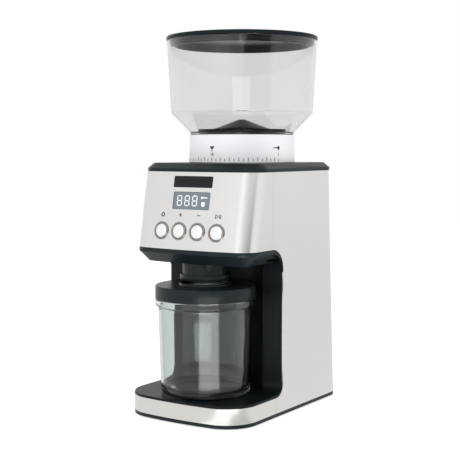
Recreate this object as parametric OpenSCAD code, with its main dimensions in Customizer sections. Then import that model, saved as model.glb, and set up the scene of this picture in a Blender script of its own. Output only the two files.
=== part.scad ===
// Burr coffee grinder with a bean hopper on top and a grounds jar in a bay at the front.
// Origin: centre of the overall box, on the surface that the feet stand on. +Z up, front towards -Y.

/* [Body] */
// Width of the steel body
body_w = 143; // [142:1:180]
// Depth of the base, front to back
base_d = 209; // [206:1:260]
// Height of the black rim under the steel
rim_h = 4.6; // [4:0.2:7]
// Height of the steel band round the base
band_h = 15.9; // [13:0.5:26]
// Thickness of the sheet steel
steel_t = 1.2; // [0.8:0.1:1.6]
// Corner radius of the base at the front
base_corner_r = 34.5; // [24:0.5:42]
// Radius of the gentle bow of the base's front
base_bow_r = 393; // [300:1:600]
// Corner radius of the body at the back
back_corner_r = 18; // [10:1:26]
// How far the back leans in from the base to the top
back_lean = 14.3; // [4:0.1:20]

/* [Head] */
// How far the head's lower front edge stands behind the base's front
head_setback = 17.5; // [10:0.5:24]
// Height of the steel head
head_h = 77.4; // [74:0.2:100]
// How far the front panel leans back over its height
head_lean = 14.6; // [8:0.1:18]
// Corner radius of the head at the front
head_corner_r = 19; // [12:0.5:26]
// Radius of the gentle bow of the front panel
head_bow_r = 426; // [380:1:700]
// Height of the upright lip under the steel head
chin_lip_h = 4.4; // [3:0.1:6]
// Height and width of the chamfer under the lip
chin_chamfer = 10.5; // [6:0.1:12]
// Height of the black top cover
cover_h = 8.6; // [7:0.1:14]

/* [Jar and bay] */
// Radius of the jar's lid
jar_lid_r = 51.5; // [43:0.5:54]
// Height of the jar from its foot to the lid's skirt
jar_h = 97.4; // [82:0.1:118]
// Height of the jar's lid
jar_lid_h = 13.8; // [12:0.1:20]
// Radius of the hole in the jar's lid
jar_hole_r = 24.5; // [16:0.5:26]
// Wall of the jar
jar_wall = 2.2; // [1.8:0.1:3]
// Free height between the jar's lid and the outlet
outlet_gap = 5.8; // [4.5:0.1:9]
// How far the outlet hangs under the head
outlet_drop = 17; // [13:0.5:22]
// Outer radius of the outlet's rim
outlet_r = 26; // [20:0.5:27]
// How far the rim stands out from the outlet's neck
outlet_rim = 2.7; // [1.5:0.1:3]
// Height of the outlet's rim
outlet_rim_h = 5.5; // [3:0.1:8]
// Gap between the jar's lid and the hollow behind it
bay_gap = 7; // [5:0.5:9]
// Wall of the black mouldings
liner_t = 2.5; // [2:0.1:3]

/* [Hopper] */
// Radius of the hopper at its top
hopper_top_r = 79.3; // [72:0.1:84]
// Radius of the hopper where the wall meets the cone
hopper_waist_r = 75.2; // [68:0.1:80]
// Height of the hopper's wall
hopper_wall_h = 75.7; // [60:0.1:92]
// Height of the hopper's cone
hopper_cone_h = 22.9; // [16:0.1:28]
// Wall of the hopper
hopper_wall = 2; // [1.6:0.1:2.6]
// Radius of the hopper's lid
lid_r = 80; // [80:0.1:86]
// Thickness of the hopper's lid
lid_t = 4; // [3:0.1:6]

/* [Grind setting] */
// Radius of the setting ring at its foot
ring_r = 56.3; // [56:0.1:60]
// Height of the setting ring
ring_h = 28.9; // [26:0.1:36]
// Angle between two marks of the scale
setting_step = 5; // [4:0.5:6]

/* [Drive] */
// Teeth of the gear on the burr shaft
output_teeth = 52; // [52:2:56]
// Teeth of the small gear of the idler
idler_small_teeth = 14; // [14:1:16]
// Teeth of the large gear of the idler
idler_large_teeth = 48; // [44:2:52]
// Teeth of the motor's pinion
pinion_teeth = 12; // [12:1:14]
// Module of the gears at the burr shaft
module_b = 1.25; // [1.25:0.05:1.3]
// Module of the gears at the motor
module_a = 1; // [1:0.05:1.05]
// Radius of the motor
motor_r = 26; // [20:0.5:27]
// Length of the motor
motor_l = 66; // [55:1:85]
// Radius of the burr shaft
shaft_r = 5; // [4:0.5:5.5]
// Radius of the cone burr at its foot
burr_r = 19; // [16:0.5:20]
// Height of the cone burr
burr_h = 22; // [18:0.5:24]

/* [Panel] */
// Distance between two buttons
button_pitch = 22.5; // [21:0.5:25]
// Radius of a button's cap
button_r = 7; // [5.5:0.1:7.5]
// Travel of a button
button_travel = 1.2; // [0.6:0.1:1.3]
// Width of the display window
window_w = 45.2; // [38:0.2:50]
// Height of the display window
window_h = 17.8; // [14:0.2:20]
// Radius of the hole for the mains lead
lead_r = 3.5; // [2.5:0.1:4]

/* [Hidden] */
$fn = 96;
eps = 0.01;   // overlap that makes a cut clean
far = 400;    // longer than the object in any direction
slip = 0.3;   // clearance between parts that slide past each other
fit = 0.15;   // clearance between parts that are assembled once
run = 0.05;   // clearance of a shaft in its bush

// heights
foot_lift = 1;
z_rim = rim_h;
z_band = z_rim + band_h;
deck_t = 2.5;
z_deck = z_band + deck_t;
z_jar = z_deck + jar_h;
z_jar_lid = z_jar + jar_lid_h;
z_outlet = z_jar_lid + outlet_gap;
z_under = z_outlet + outlet_drop;
z_lip = z_under + chin_chamfer;
z_head = z_lip + chin_lip_h;
z_shell = z_head + head_h;
z_cover = z_shell + cover_h;
z_ring = z_cover + slip;
z_ring_top = z_ring + ring_h;
z_hopper = z_ring_top + 0.2;
z_waist = z_hopper + hopper_cone_h;
z_hopper_top = z_waist + hopper_wall_h;
z_top = z_hopper_top + lid_t;

// places along X and Y
half_in = body_w / 2 - steel_t - fit;
lip_x = body_w / 2 - 3.7;
shelf_x = lip_x - 8;
jar_foot_r = jar_lid_r - 10;
front = -base_d / 2;
back = base_d / 2;
jar_y = front + jar_lid_r + 0.2;
bay_r = jar_lid_r + bay_gap;
notch_y = jar_y + 35.3;
bush_r = 8;
axis_y = jar_y + bay_r + liner_t + bush_r - 1.2;
head_y = front + head_setback;
back_angle = atan(back_lean / (z_shell - foot_lift));
head_angle = atan(head_lean / head_h);
seam_r_top = 20;
seam_r_bottom = 12;
seam_y_top = notch_y - seam_r_top;
seam_y_bottom = notch_y - seam_r_bottom;

// setting ring and hopper seat
ring_top_r = ring_r - 0.8;
ring_wall = 3;
ring_bore_r = ring_top_r - ring_wall + 0.8;
ring_web_z = z_ring + 3.6;
ring_web_t = 3;
base_disc_r = ring_bore_r - 6.7;
spigot_bore_r = ring_bore_r - 2.8;
holder_r = 33;
holder_bore_r = 28;
feed_r = holder_bore_r - 0.5;
feed_wall = 2;

// gear train
pressure = 25;
backlash = 0.16;
tooth_tip = 0.9;
tooth_root = 1.2;
out_pitch_r = output_teeth * module_b / 2;
small_pitch_r = idler_small_teeth * module_b / 2;
large_pitch_r = idler_large_teeth * module_a / 2;
pinion_pitch_r = pinion_teeth * module_a / 2;
idler_reach = out_pitch_r + small_pitch_r;
motor_reach = large_pitch_r + pinion_pitch_r;
idler_x = motor_reach;
idler_rise = sqrt(idler_reach * idler_reach - idler_x * idler_x);
motor_y = axis_y + idler_rise;
idler_angle = atan2(idler_rise, idler_x);
case_t = 3;
case_wall = 2;
z_case = z_under + liner_t + 1;
z_case_floor = z_case + case_t;
z_gear_a = z_case_floor + 2;
gear_a_h = 7;
z_gear_b = z_gear_a + gear_a_h + 2;
gear_b_h = 8;
z_case_lid = z_gear_b + gear_b_h + 1.5;
lid_plate_t = 4;
z_chamber = z_case_lid + lid_plate_t;
pin_r = 3;
case_out_r = out_pitch_r + module_b + 3.2;
case_idler_r = large_pitch_r + module_a + 3;
bracket_t = 2;
z_motor = z_case - bracket_t - motor_l;
motor_shaft_r = 2.5;
leg_y = motor_y;
leg_x = body_w / 2 - 9.5;

// burrs
chamber_r = 42;
sweep_r = 36;
chamber_floor = 3;
z_sweep = z_chamber + chamber_floor;
z_impeller = z_sweep + 1;
z_cone = z_impeller + 8;
z_ledge = z_sweep + 12;
z_holder = z_ledge + 1;
ring_burr_h = 16;
z_ring_burr = z_holder + 1;
burr_top_r = burr_r - 10;
ring_burr_r = 25;
z_chamber_top = z_chamber + 44;
holder_h = 42;
hub_r = holder_r + 0.4 + 3.6;

// front panel, in its own leaning frame: x across, z up the panel, y into the head
button_z = 18.7;
window_z = 49.7;
plate_z = 68.8;
plate_w = 47.3;
plate_h = 11.6;
plate_t = 0.6;
bezel_r = button_r + 2.2;
bezel_bore_r = button_r + slip;
bezel_barrel_r = button_r + 1.5;
cap_flange_r = button_r + 2.4;
carrier_y = 4;
carrier_t = 2;
board_y = 10;
board_t = 1.6;
board_w = 92;
board_z0 = 8;
board_z1 = 66;
post_x = 38;
post_zs = [38, 62];

// ---------- plan shapes ----------

// A plan outline whose front is one gentle bow that runs into rounded corners, drawn from the front
// edge at y = 0 back to y = depth. Taking t off moves every edge inwards by t.
module bowed_plan(w, depth, corner, bow, t = 0) {
    half = w / 2 - t;
    r = corner - t;
    big = bow - t;
    centre_y = bow;
    corner_y = centre_y - sqrt((big - r) * (big - r) - (half - r) * (half - r));
    touch_x = (half - r) * big / (big - r);
    intersection() {
        translate([0, centre_y]) circle(big, $fn = 360);
        translate([-touch_x, 0]) square([2 * touch_x, depth]);
    }
    translate([-half, corner_y]) square([2 * half, depth - corner_y]);
    for (s = [-1, 1]) translate([s * (half - r), corner_y]) circle(r);
}

// A plan outline that is square in front and has two rounded corners at the back, which is at y = 0.
module backed_plan(w, depth, corner, t = 0) {
    half = w / 2 - t;
    r = corner - t;
    translate([-half, -depth]) square([2 * half, depth - corner]);
    translate([-half + r, -depth]) square([2 * (half - r), depth - t]);
    for (s = [-1, 1]) translate([s * (half - r), -corner]) circle(r);
}

module rounded_rect(w, h, r) {
    square([w - 2 * r, h], center = true);
    square([w, h - 2 * r], center = true);
    for (x = [-1, 1], y = [-1, 1]) translate([x * (w / 2 - r), y * (h / 2 - r)]) circle(r);
}

module slab(z0, z1) {
    translate([-far, -far, z0]) cube([2 * far, 2 * far, z1 - z0]);
}

// Stands a drawing of the side view, x = Y and y = Z, across the whole width.
module side_prism(w = 2 * far) {
    translate([-w / 2, 0, 0]) rotate([90, 0, 90]) linear_extrude(w) children();
}

module tube(r, bore, h) {
    difference() {
        cylinder(r = r, h = h);
        translate([0, 0, -eps]) cylinder(r = bore, h = h + 2 * eps);
    }
}

// ---------- body solids ----------

// Everything in front of the leaning back and between the sides, with t taken off all round.
module leaning_prism(t = 0) {
    translate([0, back, foot_lift]) rotate([back_angle, 0, 0]) translate([0, 0, -far / 2])
        linear_extrude(far * 1.5) backed_plan(body_w, far, back_corner_r, t);
}

// The whole footprint, with its bowed front and leaning back, from z0 to z1.
module base_solid(z0, z1, t = 0) {
    intersection() {
        translate([0, front, z0]) linear_extrude(z1 - z0) bowed_plan(body_w, far, base_corner_r, base_bow_r, t);
        leaning_prism(t);
    }
}

// The tower behind y0, from z0 to z1.
module tower_solid(z0, z1, y0, t = 0) {
    intersection() {
        leaning_prism(t);
        translate([-far, y0, z0]) cube([2 * far, far, z1 - z0]);
    }
}

// Places its children in the front panel's leaning frame.
module on_panel() {
    translate([0, head_y, z_head]) rotate([-head_angle, 0, 0]) children();
}

// Places its children square to the bowed panel at x across and z up.
module on_face(x, z) {
    turn = asin(x / head_bow_r);
    on_panel() translate([x, head_bow_r * (1 - cos(turn)), z]) rotate([0, 0, turn]) children();
}

// The head in front of the seam, with t taken off the front and sides.
module head_solid(t = 0) {
    intersection() {
        on_panel() translate([0, 0, -far / 4])
            linear_extrude(far / 2) bowed_plan(body_w, far / 2, head_corner_r, head_bow_r, t);
        translate([-far, -far, z_head]) cube([2 * far, far + seam_y_top - 0.2, head_h]);
    }
}

// The opening of the bay in the side view, between a ceiling and a floor that curve into its back wall.
module bay_opening(ceiling, floor) {
    translate([-far, floor + seam_r_bottom])
        square([far + notch_y, ceiling - seam_r_top - floor - seam_r_bottom]);
    translate([-far, ceiling - seam_r_top - eps]) square([far + seam_y_top, seam_r_top + eps]);
    translate([-far, floor]) square([far + seam_y_bottom, seam_r_bottom + eps]);
    translate([seam_y_top, ceiling - seam_r_top]) circle(seam_r_top);
    translate([seam_y_bottom, floor + seam_r_bottom]) circle(seam_r_bottom);
}

// The rear shell in the side view, from its two seams to the back.
module steel_side() {
    difference() {
        translate([seam_y_top, z_rim]) square([far, z_shell - z_rim]);
        bay_opening(z_head, z_band);
        translate([seam_y_top - eps, 0]) square([seam_y_bottom - seam_y_top + eps, z_band + eps]);
    }
}

// ---------- covers and shells ----------

foot_x = body_w / 2 - 19;
foot_ys = [front + 30, back - 26];
foot_r = 8;
foot_pocket = 2.6;
screw_x = body_w / 2 - 16;
screw_ys = [front + 52, back - 48];
screw_r = 1.7;
screw_head_r = 3.2;
boss_r = 4.5;
rib_y = back - 22;
rib_gap = board_t + 0.1;

module at_feet() {
    for (s = [-1, 1], y = foot_ys) translate([s * foot_x, y, 0]) children();
}

module at_base_screws() {
    for (s = [-1, 1], y = screw_ys) translate([s * screw_x, y, 0]) children();
}

module base_plate() {
    color([0.08, 0.09, 0.1]) difference() {
        union() {
            base_solid(foot_lift, z_rim);
            difference() {
                base_solid(z_rim - eps, z_rim + 6, steel_t + fit);
                base_solid(z_rim - 2 * eps, z_rim + 7, steel_t + fit + 2);
            }
            for (s = [-1, 1]) translate([s * screw_x, screw_ys[1], z_rim - eps]) cylinder(r = boss_r, h = 6 + eps);
            for (y = [rib_y - rib_gap / 2 - 1.5, rib_y + rib_gap / 2])
                translate([-36, y, z_rim - eps]) cube([72, 1.5, 9]);
        }
        at_feet() translate([0, 0, foot_lift - eps]) cylinder(r = foot_r + fit, h = foot_pocket);
        at_base_screws() {
            translate([0, 0, foot_lift - eps]) cylinder(r = screw_r, h = 20);
            translate([0, 0, foot_lift - eps]) cylinder(r = screw_head_r + fit, h = 2.3);
        }
        for (x = [-20 : 8 : 20]) translate([x - 1.5, axis_y, foot_lift - 1]) cube([3, 46, 6]);
    }
}

module rubber_feet() {
    color([0.05, 0.05, 0.05]) at_feet() {
        cylinder(r = foot_r - 0.6, h = 0.8);
        translate([0, 0, 0.7]) cylinder(r = foot_r, h = foot_lift + foot_pocket - 0.8);
    }
}

module base_screws() {
    color([0.75, 0.75, 0.77]) at_base_screws() difference() {
        union() {
            translate([0, 0, foot_lift + 0.3]) cylinder(r = screw_head_r, h = 1.9);
            translate([0, 0, foot_lift + 0.3]) cylinder(r = screw_r, h = 8.5);
        }
        translate([0, 0, foot_lift]) cylinder(r = 1.4, h = 1.4, $fn = 6);
    }
}

module base_band() {
    color([0.78, 0.78, 0.77]) intersection() {
        difference() {
            base_solid(z_rim, z_band);
            base_solid(z_rim - eps, z_band + eps, steel_t);
        }
        translate([-far, -far, 0]) cube([2 * far, far + seam_y_bottom - 0.2, far]);
    }
}

module base_deck() {
    edge = 0.8;
    color([0.07, 0.08, 0.09]) difference() {
        union() {
            intersection() {
                union() {
                    base_solid(z_band, z_deck - edge);
                    base_solid(z_deck - edge - eps, z_deck, edge * 0.6);
                }
                union() {
                    translate([-far, -far, 0]) cube([2 * far, far + seam_y_bottom, far]);
                    translate([-lip_x, -far, 0]) cube([2 * lip_x, far + jar_y + bay_r + liner_t, far]);
                }
            }
            for (s = [-1, 1]) translate([s * screw_x, screw_ys[0], z_rim + 0.1])
                cylinder(r = boss_r, h = band_h);
        }
        for (s = [-1, 1]) translate([s * screw_x, screw_ys[0], 0]) cylinder(r = screw_r, h = z_rim + 8);
    }
}

// The wall behind the jar: two flat cheeks that curve into the floor, a round hollow between them,
// and a narrow edging that fills the bay's corners flush with the steel.
module bay_liner() {
    rear_y = jar_y + bay_r + liner_t;
    color([0.06, 0.07, 0.08]) {
        difference() {
            union() {
                intersection() {
                    side_prism(2 * half_in) difference() {
                        translate([seam_y_bottom, z_deck]) square([rear_y - seam_y_bottom, z_under - z_deck]);
                        bay_opening(z_lip, z_deck);
                    }
                    translate([0, 0, z_deck]) linear_extrude(z_under - z_deck) difference() {
                        translate([-half_in, seam_y_bottom]) square([2 * half_in, rear_y - seam_y_bottom]);
                        translate([0, jar_y]) circle(bay_r);
                        difference() {
                            translate([-half_in + liner_t, notch_y + liner_t])
                                square([2 * (half_in - liner_t), far]);
                            translate([0, jar_y]) circle(bay_r + liner_t);
                        }
                    }
                }
                for (s = [-1, 1]) {
                    translate([s * (shelf_x + fit + lip_x) / 2, notch_y + liner_t / 2, z_under + 3])
                        cube([lip_x - shelf_x - fit, liner_t, 8], center = true);
                    translate([s * (lip_x + half_in) / 2, 0, 0]) side_prism(half_in - lip_x) difference() {
                        translate([seam_y_top, z_under - 1]) square([notch_y + liner_t - seam_y_top, z_head - z_under + 1]);
                        bay_opening(z_lip, z_deck);
                    }
                    translate([s * (lip_x + body_w / 2) / 2, 0, 0]) side_prism(body_w / 2 - lip_x) difference() {
                        intersection() {
                            bay_opening(z_head, z_band);
                            union() {
                                translate([seam_y_top, z_under]) square([far, far]);
                                translate([seam_y_bottom, z_rim]) square([far, z_under - z_rim]);
                            }
                        }
                        bay_opening(z_lip, z_deck);
                    }
                }
            }
        }
    }
}

module chin_outline(t = 0) {
    intersection() {
        translate([0, head_y]) bowed_plan(body_w, notch_y - head_y + 50, head_corner_r, head_bow_r, t);
        translate([-far, -far]) square([2 * far, far + notch_y]);
    }
}

module chin_block(t = 0) {
    translate([0, 0, z_lip]) linear_extrude(chin_lip_h + (t > 0 ? eps : 0)) chin_outline(t);
    hull() {
        translate([0, 0, z_lip]) linear_extrude(0.02) chin_outline(t, $fn = 32);
        translate([0, 0, z_under]) linear_extrude(0.02) chin_outline(chin_chamfer + t * 0.4, $fn = 32);
    }
}

// The underside of the head: an upright lip, a chamfer and a ceiling that reaches back over the jar.
module chin_cover() {
    rear_y = jar_y + bay_r + liner_t;
    color([0.06, 0.07, 0.08]) difference() {
        union() {
            difference() {
                chin_block();
                intersection() {
                    chin_block(liner_t);
                    translate([-far, -far, z_under + liner_t]) cube([2 * far, 2 * far, far]);
                }
                translate([-lip_x + liner_t, notch_y - 20, z_under + liner_t])
                    cube([2 * (lip_x - liner_t), 40, far]);
            }
            translate([-shelf_x, notch_y - 1, z_under]) cube([2 * shelf_x, rear_y - notch_y + 1, liner_t]);
        }
        for (s = [-1, 1]) translate([s * (lip_x + 20), seam_y_top + 20, z_under])
            cube([40, 40, 80], center = true);
        translate([0, jar_y, z_under - 5]) cylinder(r = outlet_neck_r + fit, h = 30);
    }
}

module rear_shell() {
    vents = [40 : 7 : 96];
    color([0.8, 0.8, 0.79]) difference() {
        intersection() {
            difference() {
                tower_solid(z_rim, z_shell, seam_y_top);
                tower_solid(z_rim - 1, z_shell + 1, seam_y_top - 1, steel_t);
            }
            side_prism() steel_side();
        }
        for (z = vents) translate([0, back, z]) rotate([90, 0, 0]) linear_extrude(40, center = true)
            rounded_rect(56, 2.6, 1.2);
        on_back() rotate([90, 0, 0]) cylinder(r = gland_r + fit, h = 30, center = true);
    }
}

module front_shell() {
    color([0.8, 0.8, 0.79]) difference() {
        head_solid();
        head_cavity(steel_t);
        for (i = [0 : 3]) on_face(button_x(i), button_z)
            rotate([90, 0, 0]) cylinder(r = bezel_barrel_r + fit, h = 12, center = true);
        on_panel() translate([0, 0, window_z]) rotate([90, 0, 0])
            linear_extrude(16, center = true) rounded_rect(window_w, window_h, 1.5);
    }
}

function button_x(i) = (i - 1.5) * button_pitch;
function sag(x) = head_bow_r * (1 - cos(asin(x / head_bow_r)));

module head_cavity(t) {
    on_panel() translate([0, 0, -far / 4])
        linear_extrude(far / 2) bowed_plan(body_w, far / 2, head_corner_r, head_bow_r, t);
}

module cover_outline(t = 0) {
    over = 0.6;
    front_y = head_y + head_lean + 1.6;
    back_y = back - back_lean + over;
    mid = (front_y + back_y) / 2;
    intersection() {
        translate([0, front_y]) bowed_plan(body_w + 2 * over, back_y - front_y, head_corner_r, head_bow_r, t);
        translate([-far, -far]) square([2 * far, far + mid]);
    }
    intersection() {
        translate([0, back_y]) backed_plan(body_w + 2 * over, back_y - front_y, back_corner_r, t);
        translate([-far, mid - eps]) square([2 * far, far]);
    }
}

module top_cover() {
    lip = 3.4;
    inset = 6.4;
    plate = 4;
    color([0.12, 0.14, 0.15]) difference() {
        union() {
            translate([0, 0, z_shell]) linear_extrude(lip) cover_outline();
            hull() {
                translate([0, 0, z_shell + lip - 0.01]) linear_extrude(0.02) cover_outline($fn = 32);
                translate([0, 0, z_cover - 0.02]) linear_extrude(0.02) cover_outline(inset, $fn = 32);
            }
        }
        translate([0, 0, z_shell - eps]) linear_extrude(cover_h - plate) cover_outline(inset + 1);
        translate([0, axis_y, z_shell - 1]) cylinder(r = hub_r + 1.2, h = cover_h + 2);
    }
}

// ---------- front panel ----------

module nameplate() {
    color([0.09, 0.09, 0.1]) on_panel() translate([0, -plate_t + 0.05, plate_z]) rotate([90, 0, 0])
        linear_extrude(plate_t, center = true) rounded_rect(plate_w, plate_h, 0.8);
}

module display_lens() {
    color([0.45, 0.52, 0.57]) on_panel() translate([0, 0, window_z]) rotate([-90, 0, 0]) {
        translate([0, 0, 0.8]) linear_extrude(1.8) rounded_rect(window_w - 2 * fit, window_h - 2 * fit, 1.4);
        translate([0, 0, 2.6 - eps]) linear_extrude(1.2) rounded_rect(window_w + 3, window_h + 3, 2);
    }
}

module display_module() {
    color([0.2, 0.22, 0.24]) on_panel() translate([-window_w / 2, 4.1, window_z - window_h / 2])
        cube([window_w, board_y - 4.1, window_h]);
}

module at_posts() {
    on_panel() for (s = [-1, 1], z = post_zs) translate([s * post_x, 0, z]) rotate([-90, 0, 0]) children();
}

module panel_carrier() {
    color([0.15, 0.15, 0.16]) difference() {
        union() {
            on_panel() translate([-button_pitch * 2 + 2, carrier_y, 6])
                cube([button_pitch * 4 - 4, carrier_t, board_z1 - 6]);
            for (s = [-1, 1]) on_panel() translate([s * (button_pitch * 2 - 3.5) - 1.5, carrier_y - 0.6, 6])
                cube([3, 1, board_z1 - 6]);
            at_posts() translate([0, 0, carrier_y + carrier_t - eps])
                cylinder(r = 3, h = board_y - carrier_y - carrier_t);
        }
        for (i = [0 : 3]) on_face(button_x(i), button_z)
            rotate([90, 0, 0]) cylinder(r = cap_flange_r + 0.4, h = 30, center = true);
        on_panel() translate([-window_w / 2 - 2, 0, window_z - window_h / 2 - 2])
            cube([window_w + 4, 20, window_h + 4]);
        at_posts() translate([0, 0, board_y - 3]) cylinder(r = 1.1, h = 5);
    }
}

module control_board() {
    color([0.1, 0.35, 0.2]) difference() {
        on_panel() translate([-board_w / 2, board_y, board_z0]) cube([board_w, board_t, board_z1 - board_z0]);
        at_posts() translate([0, 0, board_y - 1]) cylinder(r = 1.1, h = 5);
    }
}

module board_screws() {
    color([0.7, 0.7, 0.72]) at_posts() {
        translate([0, 0, board_y + board_t]) cylinder(r = 2.1, h = 1.4);
        translate([0, 0, board_y - 3 + fit]) cylinder(r = 1.1, h = board_t + 3 - fit + eps);
    }
}

module tact_switches() {
    plunger_gap = 0.2;
    top_y = cap_back + button_travel + plunger_gap;
    color([0.1, 0.1, 0.1]) for (i = [0 : 3]) on_panel() translate([button_x(i), sag(button_x(i)), button_z]) {
        translate([-3, top_y + 1, -3]) cube([6, board_y - top_y - 1 - sag(button_x(i)), 6]);
        translate([0, top_y + 1 + eps, 0]) rotate([90, 0, 0]) cylinder(r = 1.6, h = 0.6);
    }
}

cap_back = 5.5;

module button_bezels() {
    barrel = 3.5;
    color([0.85, 0.85, 0.86]) for (i = [0 : 3]) on_face(button_x(i), button_z) rotate([-90, 0, 0]) difference() {
        union() {
            translate([0, 0, -1.3]) cylinder(r = bezel_r, h = 1.15);
            translate([0, 0, -0.5]) cylinder(r = bezel_barrel_r, h = barrel + 0.5);
        }
        translate([0, 0, -5]) cylinder(r = bezel_bore_r, h = 20);
    }
}

// A domed cap with a flange behind the bezel that keeps it in.
module button_cap(i) {
    rise = 1.9;
    dome = 0.9;
    dome_r = (button_r * button_r + dome * dome) / (2 * dome);
    color([0.88, 0.88, 0.87]) on_face(button_x(i), button_z) rotate([-90, 0, 0]) {
        intersection() {
            translate([0, 0, -rise]) cylinder(r = button_r, h = rise + cap_back);
            translate([0, 0, dome_r - rise]) sphere(r = dome_r, $fn = 128);
        }
        translate([0, 0, cap_back - 1.6]) cylinder(r = cap_flange_r, h = 1.6);
    }
}

module button_mode() { button_cap(0); }
module button_plus() { button_cap(1); }
module button_minus() { button_cap(2); }
module button_start() { button_cap(3); }

// ---------- grinding ----------

duct_w = 34;
duct_top = z_sweep + 14;
duct_wall = 2;
outlet_neck_r = outlet_r - outlet_rim;

module outlet_chute() {
    shaft_y0 = jar_y - 13;
    shaft_y1 = jar_y + 16;
    mouth_y = axis_y - sweep_r - 5.5;
    inner_r = outlet_neck_r - duct_wall;
    seat_z = z_under + liner_t;
    color([0.12, 0.14, 0.15]) difference() {
        union() {
            translate([0, jar_y, z_outlet]) cylinder(r = outlet_neck_r, h = seat_z + 4 - z_outlet);
            translate([0, jar_y, z_outlet]) cylinder(r = outlet_r, h = outlet_rim_h);
            translate([-30, shaft_y0 - 5, seat_z]) cube([60, 48, 2]);
            translate([-duct_w / 2, shaft_y0, seat_z + 2])
                cube([duct_w, shaft_y1 - shaft_y0, duct_top - seat_z - 2]);
            translate([-duct_w / 2, shaft_y1 - 1, z_sweep - duct_wall])
                cube([duct_w, mouth_y - shaft_y1 + 1, duct_top - z_sweep + duct_wall]);
        }
        translate([0, jar_y, z_outlet - 1]) cylinder(r = inner_r, h = seat_z + 3 - z_outlet);
        translate([-duct_w / 2 + duct_wall, shaft_y0 + duct_wall, seat_z])
            cube([duct_w - 2 * duct_wall, shaft_y1 - shaft_y0 - 2 * duct_wall, duct_top - seat_z - duct_wall]);
        translate([-duct_w / 2 + duct_wall, shaft_y0 + duct_wall, z_sweep])
            cube([duct_w - 2 * duct_wall, 90, duct_top - z_sweep - duct_wall]);
        translate([0, axis_y, z_case]) cylinder(r = chamber_r + fit, h = 80);
    }
}

module burr_chamber() {
    slot_w = 8.6;
    color([0.2, 0.2, 0.21]) translate([0, axis_y, 0]) difference() {
        translate([0, 0, z_chamber]) cylinder(r = chamber_r, h = z_chamber_top - z_chamber);
        translate([0, 0, z_sweep]) cylinder(r = sweep_r, h = z_ledge - z_sweep);
        translate([0, 0, z_ledge - eps]) cylinder(r = holder_r + 0.4, h = 80);
        translate([0, 0, z_chamber - 1]) cylinder(r = bush_r + 1, h = 10);
        translate([-(duct_w / 2 - duct_wall), -chamber_r - 5, z_sweep])
            cube([duct_w - 2 * duct_wall, chamber_r, duct_top - z_sweep - duct_wall]);
        for (s = [-1, 1]) translate([s * (holder_r + 2) - 2.6, -slot_w / 2, z_holder + 8])
            cube([5.2, slot_w, 80]);
    }
}

module case_plan(t = 0) {
    translate([0, axis_y]) circle(case_out_r - t);
    translate([idler_x, motor_y]) circle(case_idler_r - t);
    translate([0, motor_y]) circle(pinion_pitch_r + module_a + 4 - t);
}

module gear_case() {
    color([0.55, 0.56, 0.58]) difference() {
        union() {
            translate([0, 0, z_case]) linear_extrude(z_case_lid - z_case) union() {
                case_plan();
                case_ears(4.2);
            }
        }
        translate([0, 0, z_case_floor]) linear_extrude(40) case_plan(case_wall);
        translate([0, axis_y, z_case + 1]) cylinder(r = bush_r, h = 10);
        translate([0, motor_y, z_case - 1]) cylinder(r = bush_r, h = 10);
        translate([idler_x, motor_y, z_case + 1]) cylinder(r = pin_r, h = 10);
        at_motor_screws() translate([0, 0, z_case - 1]) cylinder(r = screw_r, h = 10);
        at_case_screws() {
            translate([0, 0, z_case - 1]) cylinder(r = screw_r, h = 40);
            translate([0, 0, z_case - 1]) cylinder(r = 2.9 + fit, h = 3.1);
        }
    }
}

module case_ears(r) {
    for (a = case_ear_angles) rotate_about(a) translate([case_out_r + 2.5, 0]) circle(r);
    translate(far_ear) circle(r);
}

case_ear_angles = [-135, -50, 150];
far_ear = [idler_x + (case_idler_r + 2.5) * cos(-55), motor_y + (case_idler_r + 2.5) * sin(-55)];

module rotate_about(a) {
    translate([0, axis_y]) rotate(a) children();
}

module at_case_screws() {
    for (a = case_ear_angles) translate([0, axis_y, 0]) rotate([0, 0, a]) translate([case_out_r + 2.5, 0, 0]) children();
    translate([far_ear.x, far_ear.y, 0]) children();
}

module gear_case_lid() {
    color([0.55, 0.56, 0.58]) difference() {
        translate([0, 0, z_case_lid]) linear_extrude(lid_plate_t) union() {
            case_plan();
            case_ears(4.2);
            translate([0, axis_y]) circle(chamber_r);
        }
        translate([0, axis_y, z_case_lid - 1]) cylinder(r = bush_r, h = 10);
        translate([idler_x, motor_y, z_case_lid - 1]) cylinder(r = pin_r, h = 3.5);
        at_case_screws() translate([0, 0, z_case_lid - 1]) cylinder(r = screw_r, h = lid_plate_t);
    }
}

module gear_case_screws() {
    color([0.7, 0.7, 0.72]) at_case_screws() {
        translate([0, 0, z_case + 0.1]) cylinder(r = 2.9, h = 2);
        translate([0, 0, z_case + 2]) cylinder(r = screw_r, h = z_case_lid - z_case + lid_plate_t - 3.5);
    }
}

module shaft_bushes() {
    color([0.72, 0.5, 0.25]) translate([0, axis_y, 0]) {
        translate([0, 0, z_case + 1]) tube(bush_r, shaft_r + run, 6.5);
        translate([0, 0, z_case_lid - 0.5]) tube(bush_r, shaft_r + run, 6.5);
    }
}

module burr_shaft() {
    top = z_cone + burr_h + 5;
    color([0.75, 0.75, 0.77]) translate([0, axis_y, z_case + 1.5]) cylinder(r = shaft_r, h = top - z_case - 1.5);
}

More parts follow.
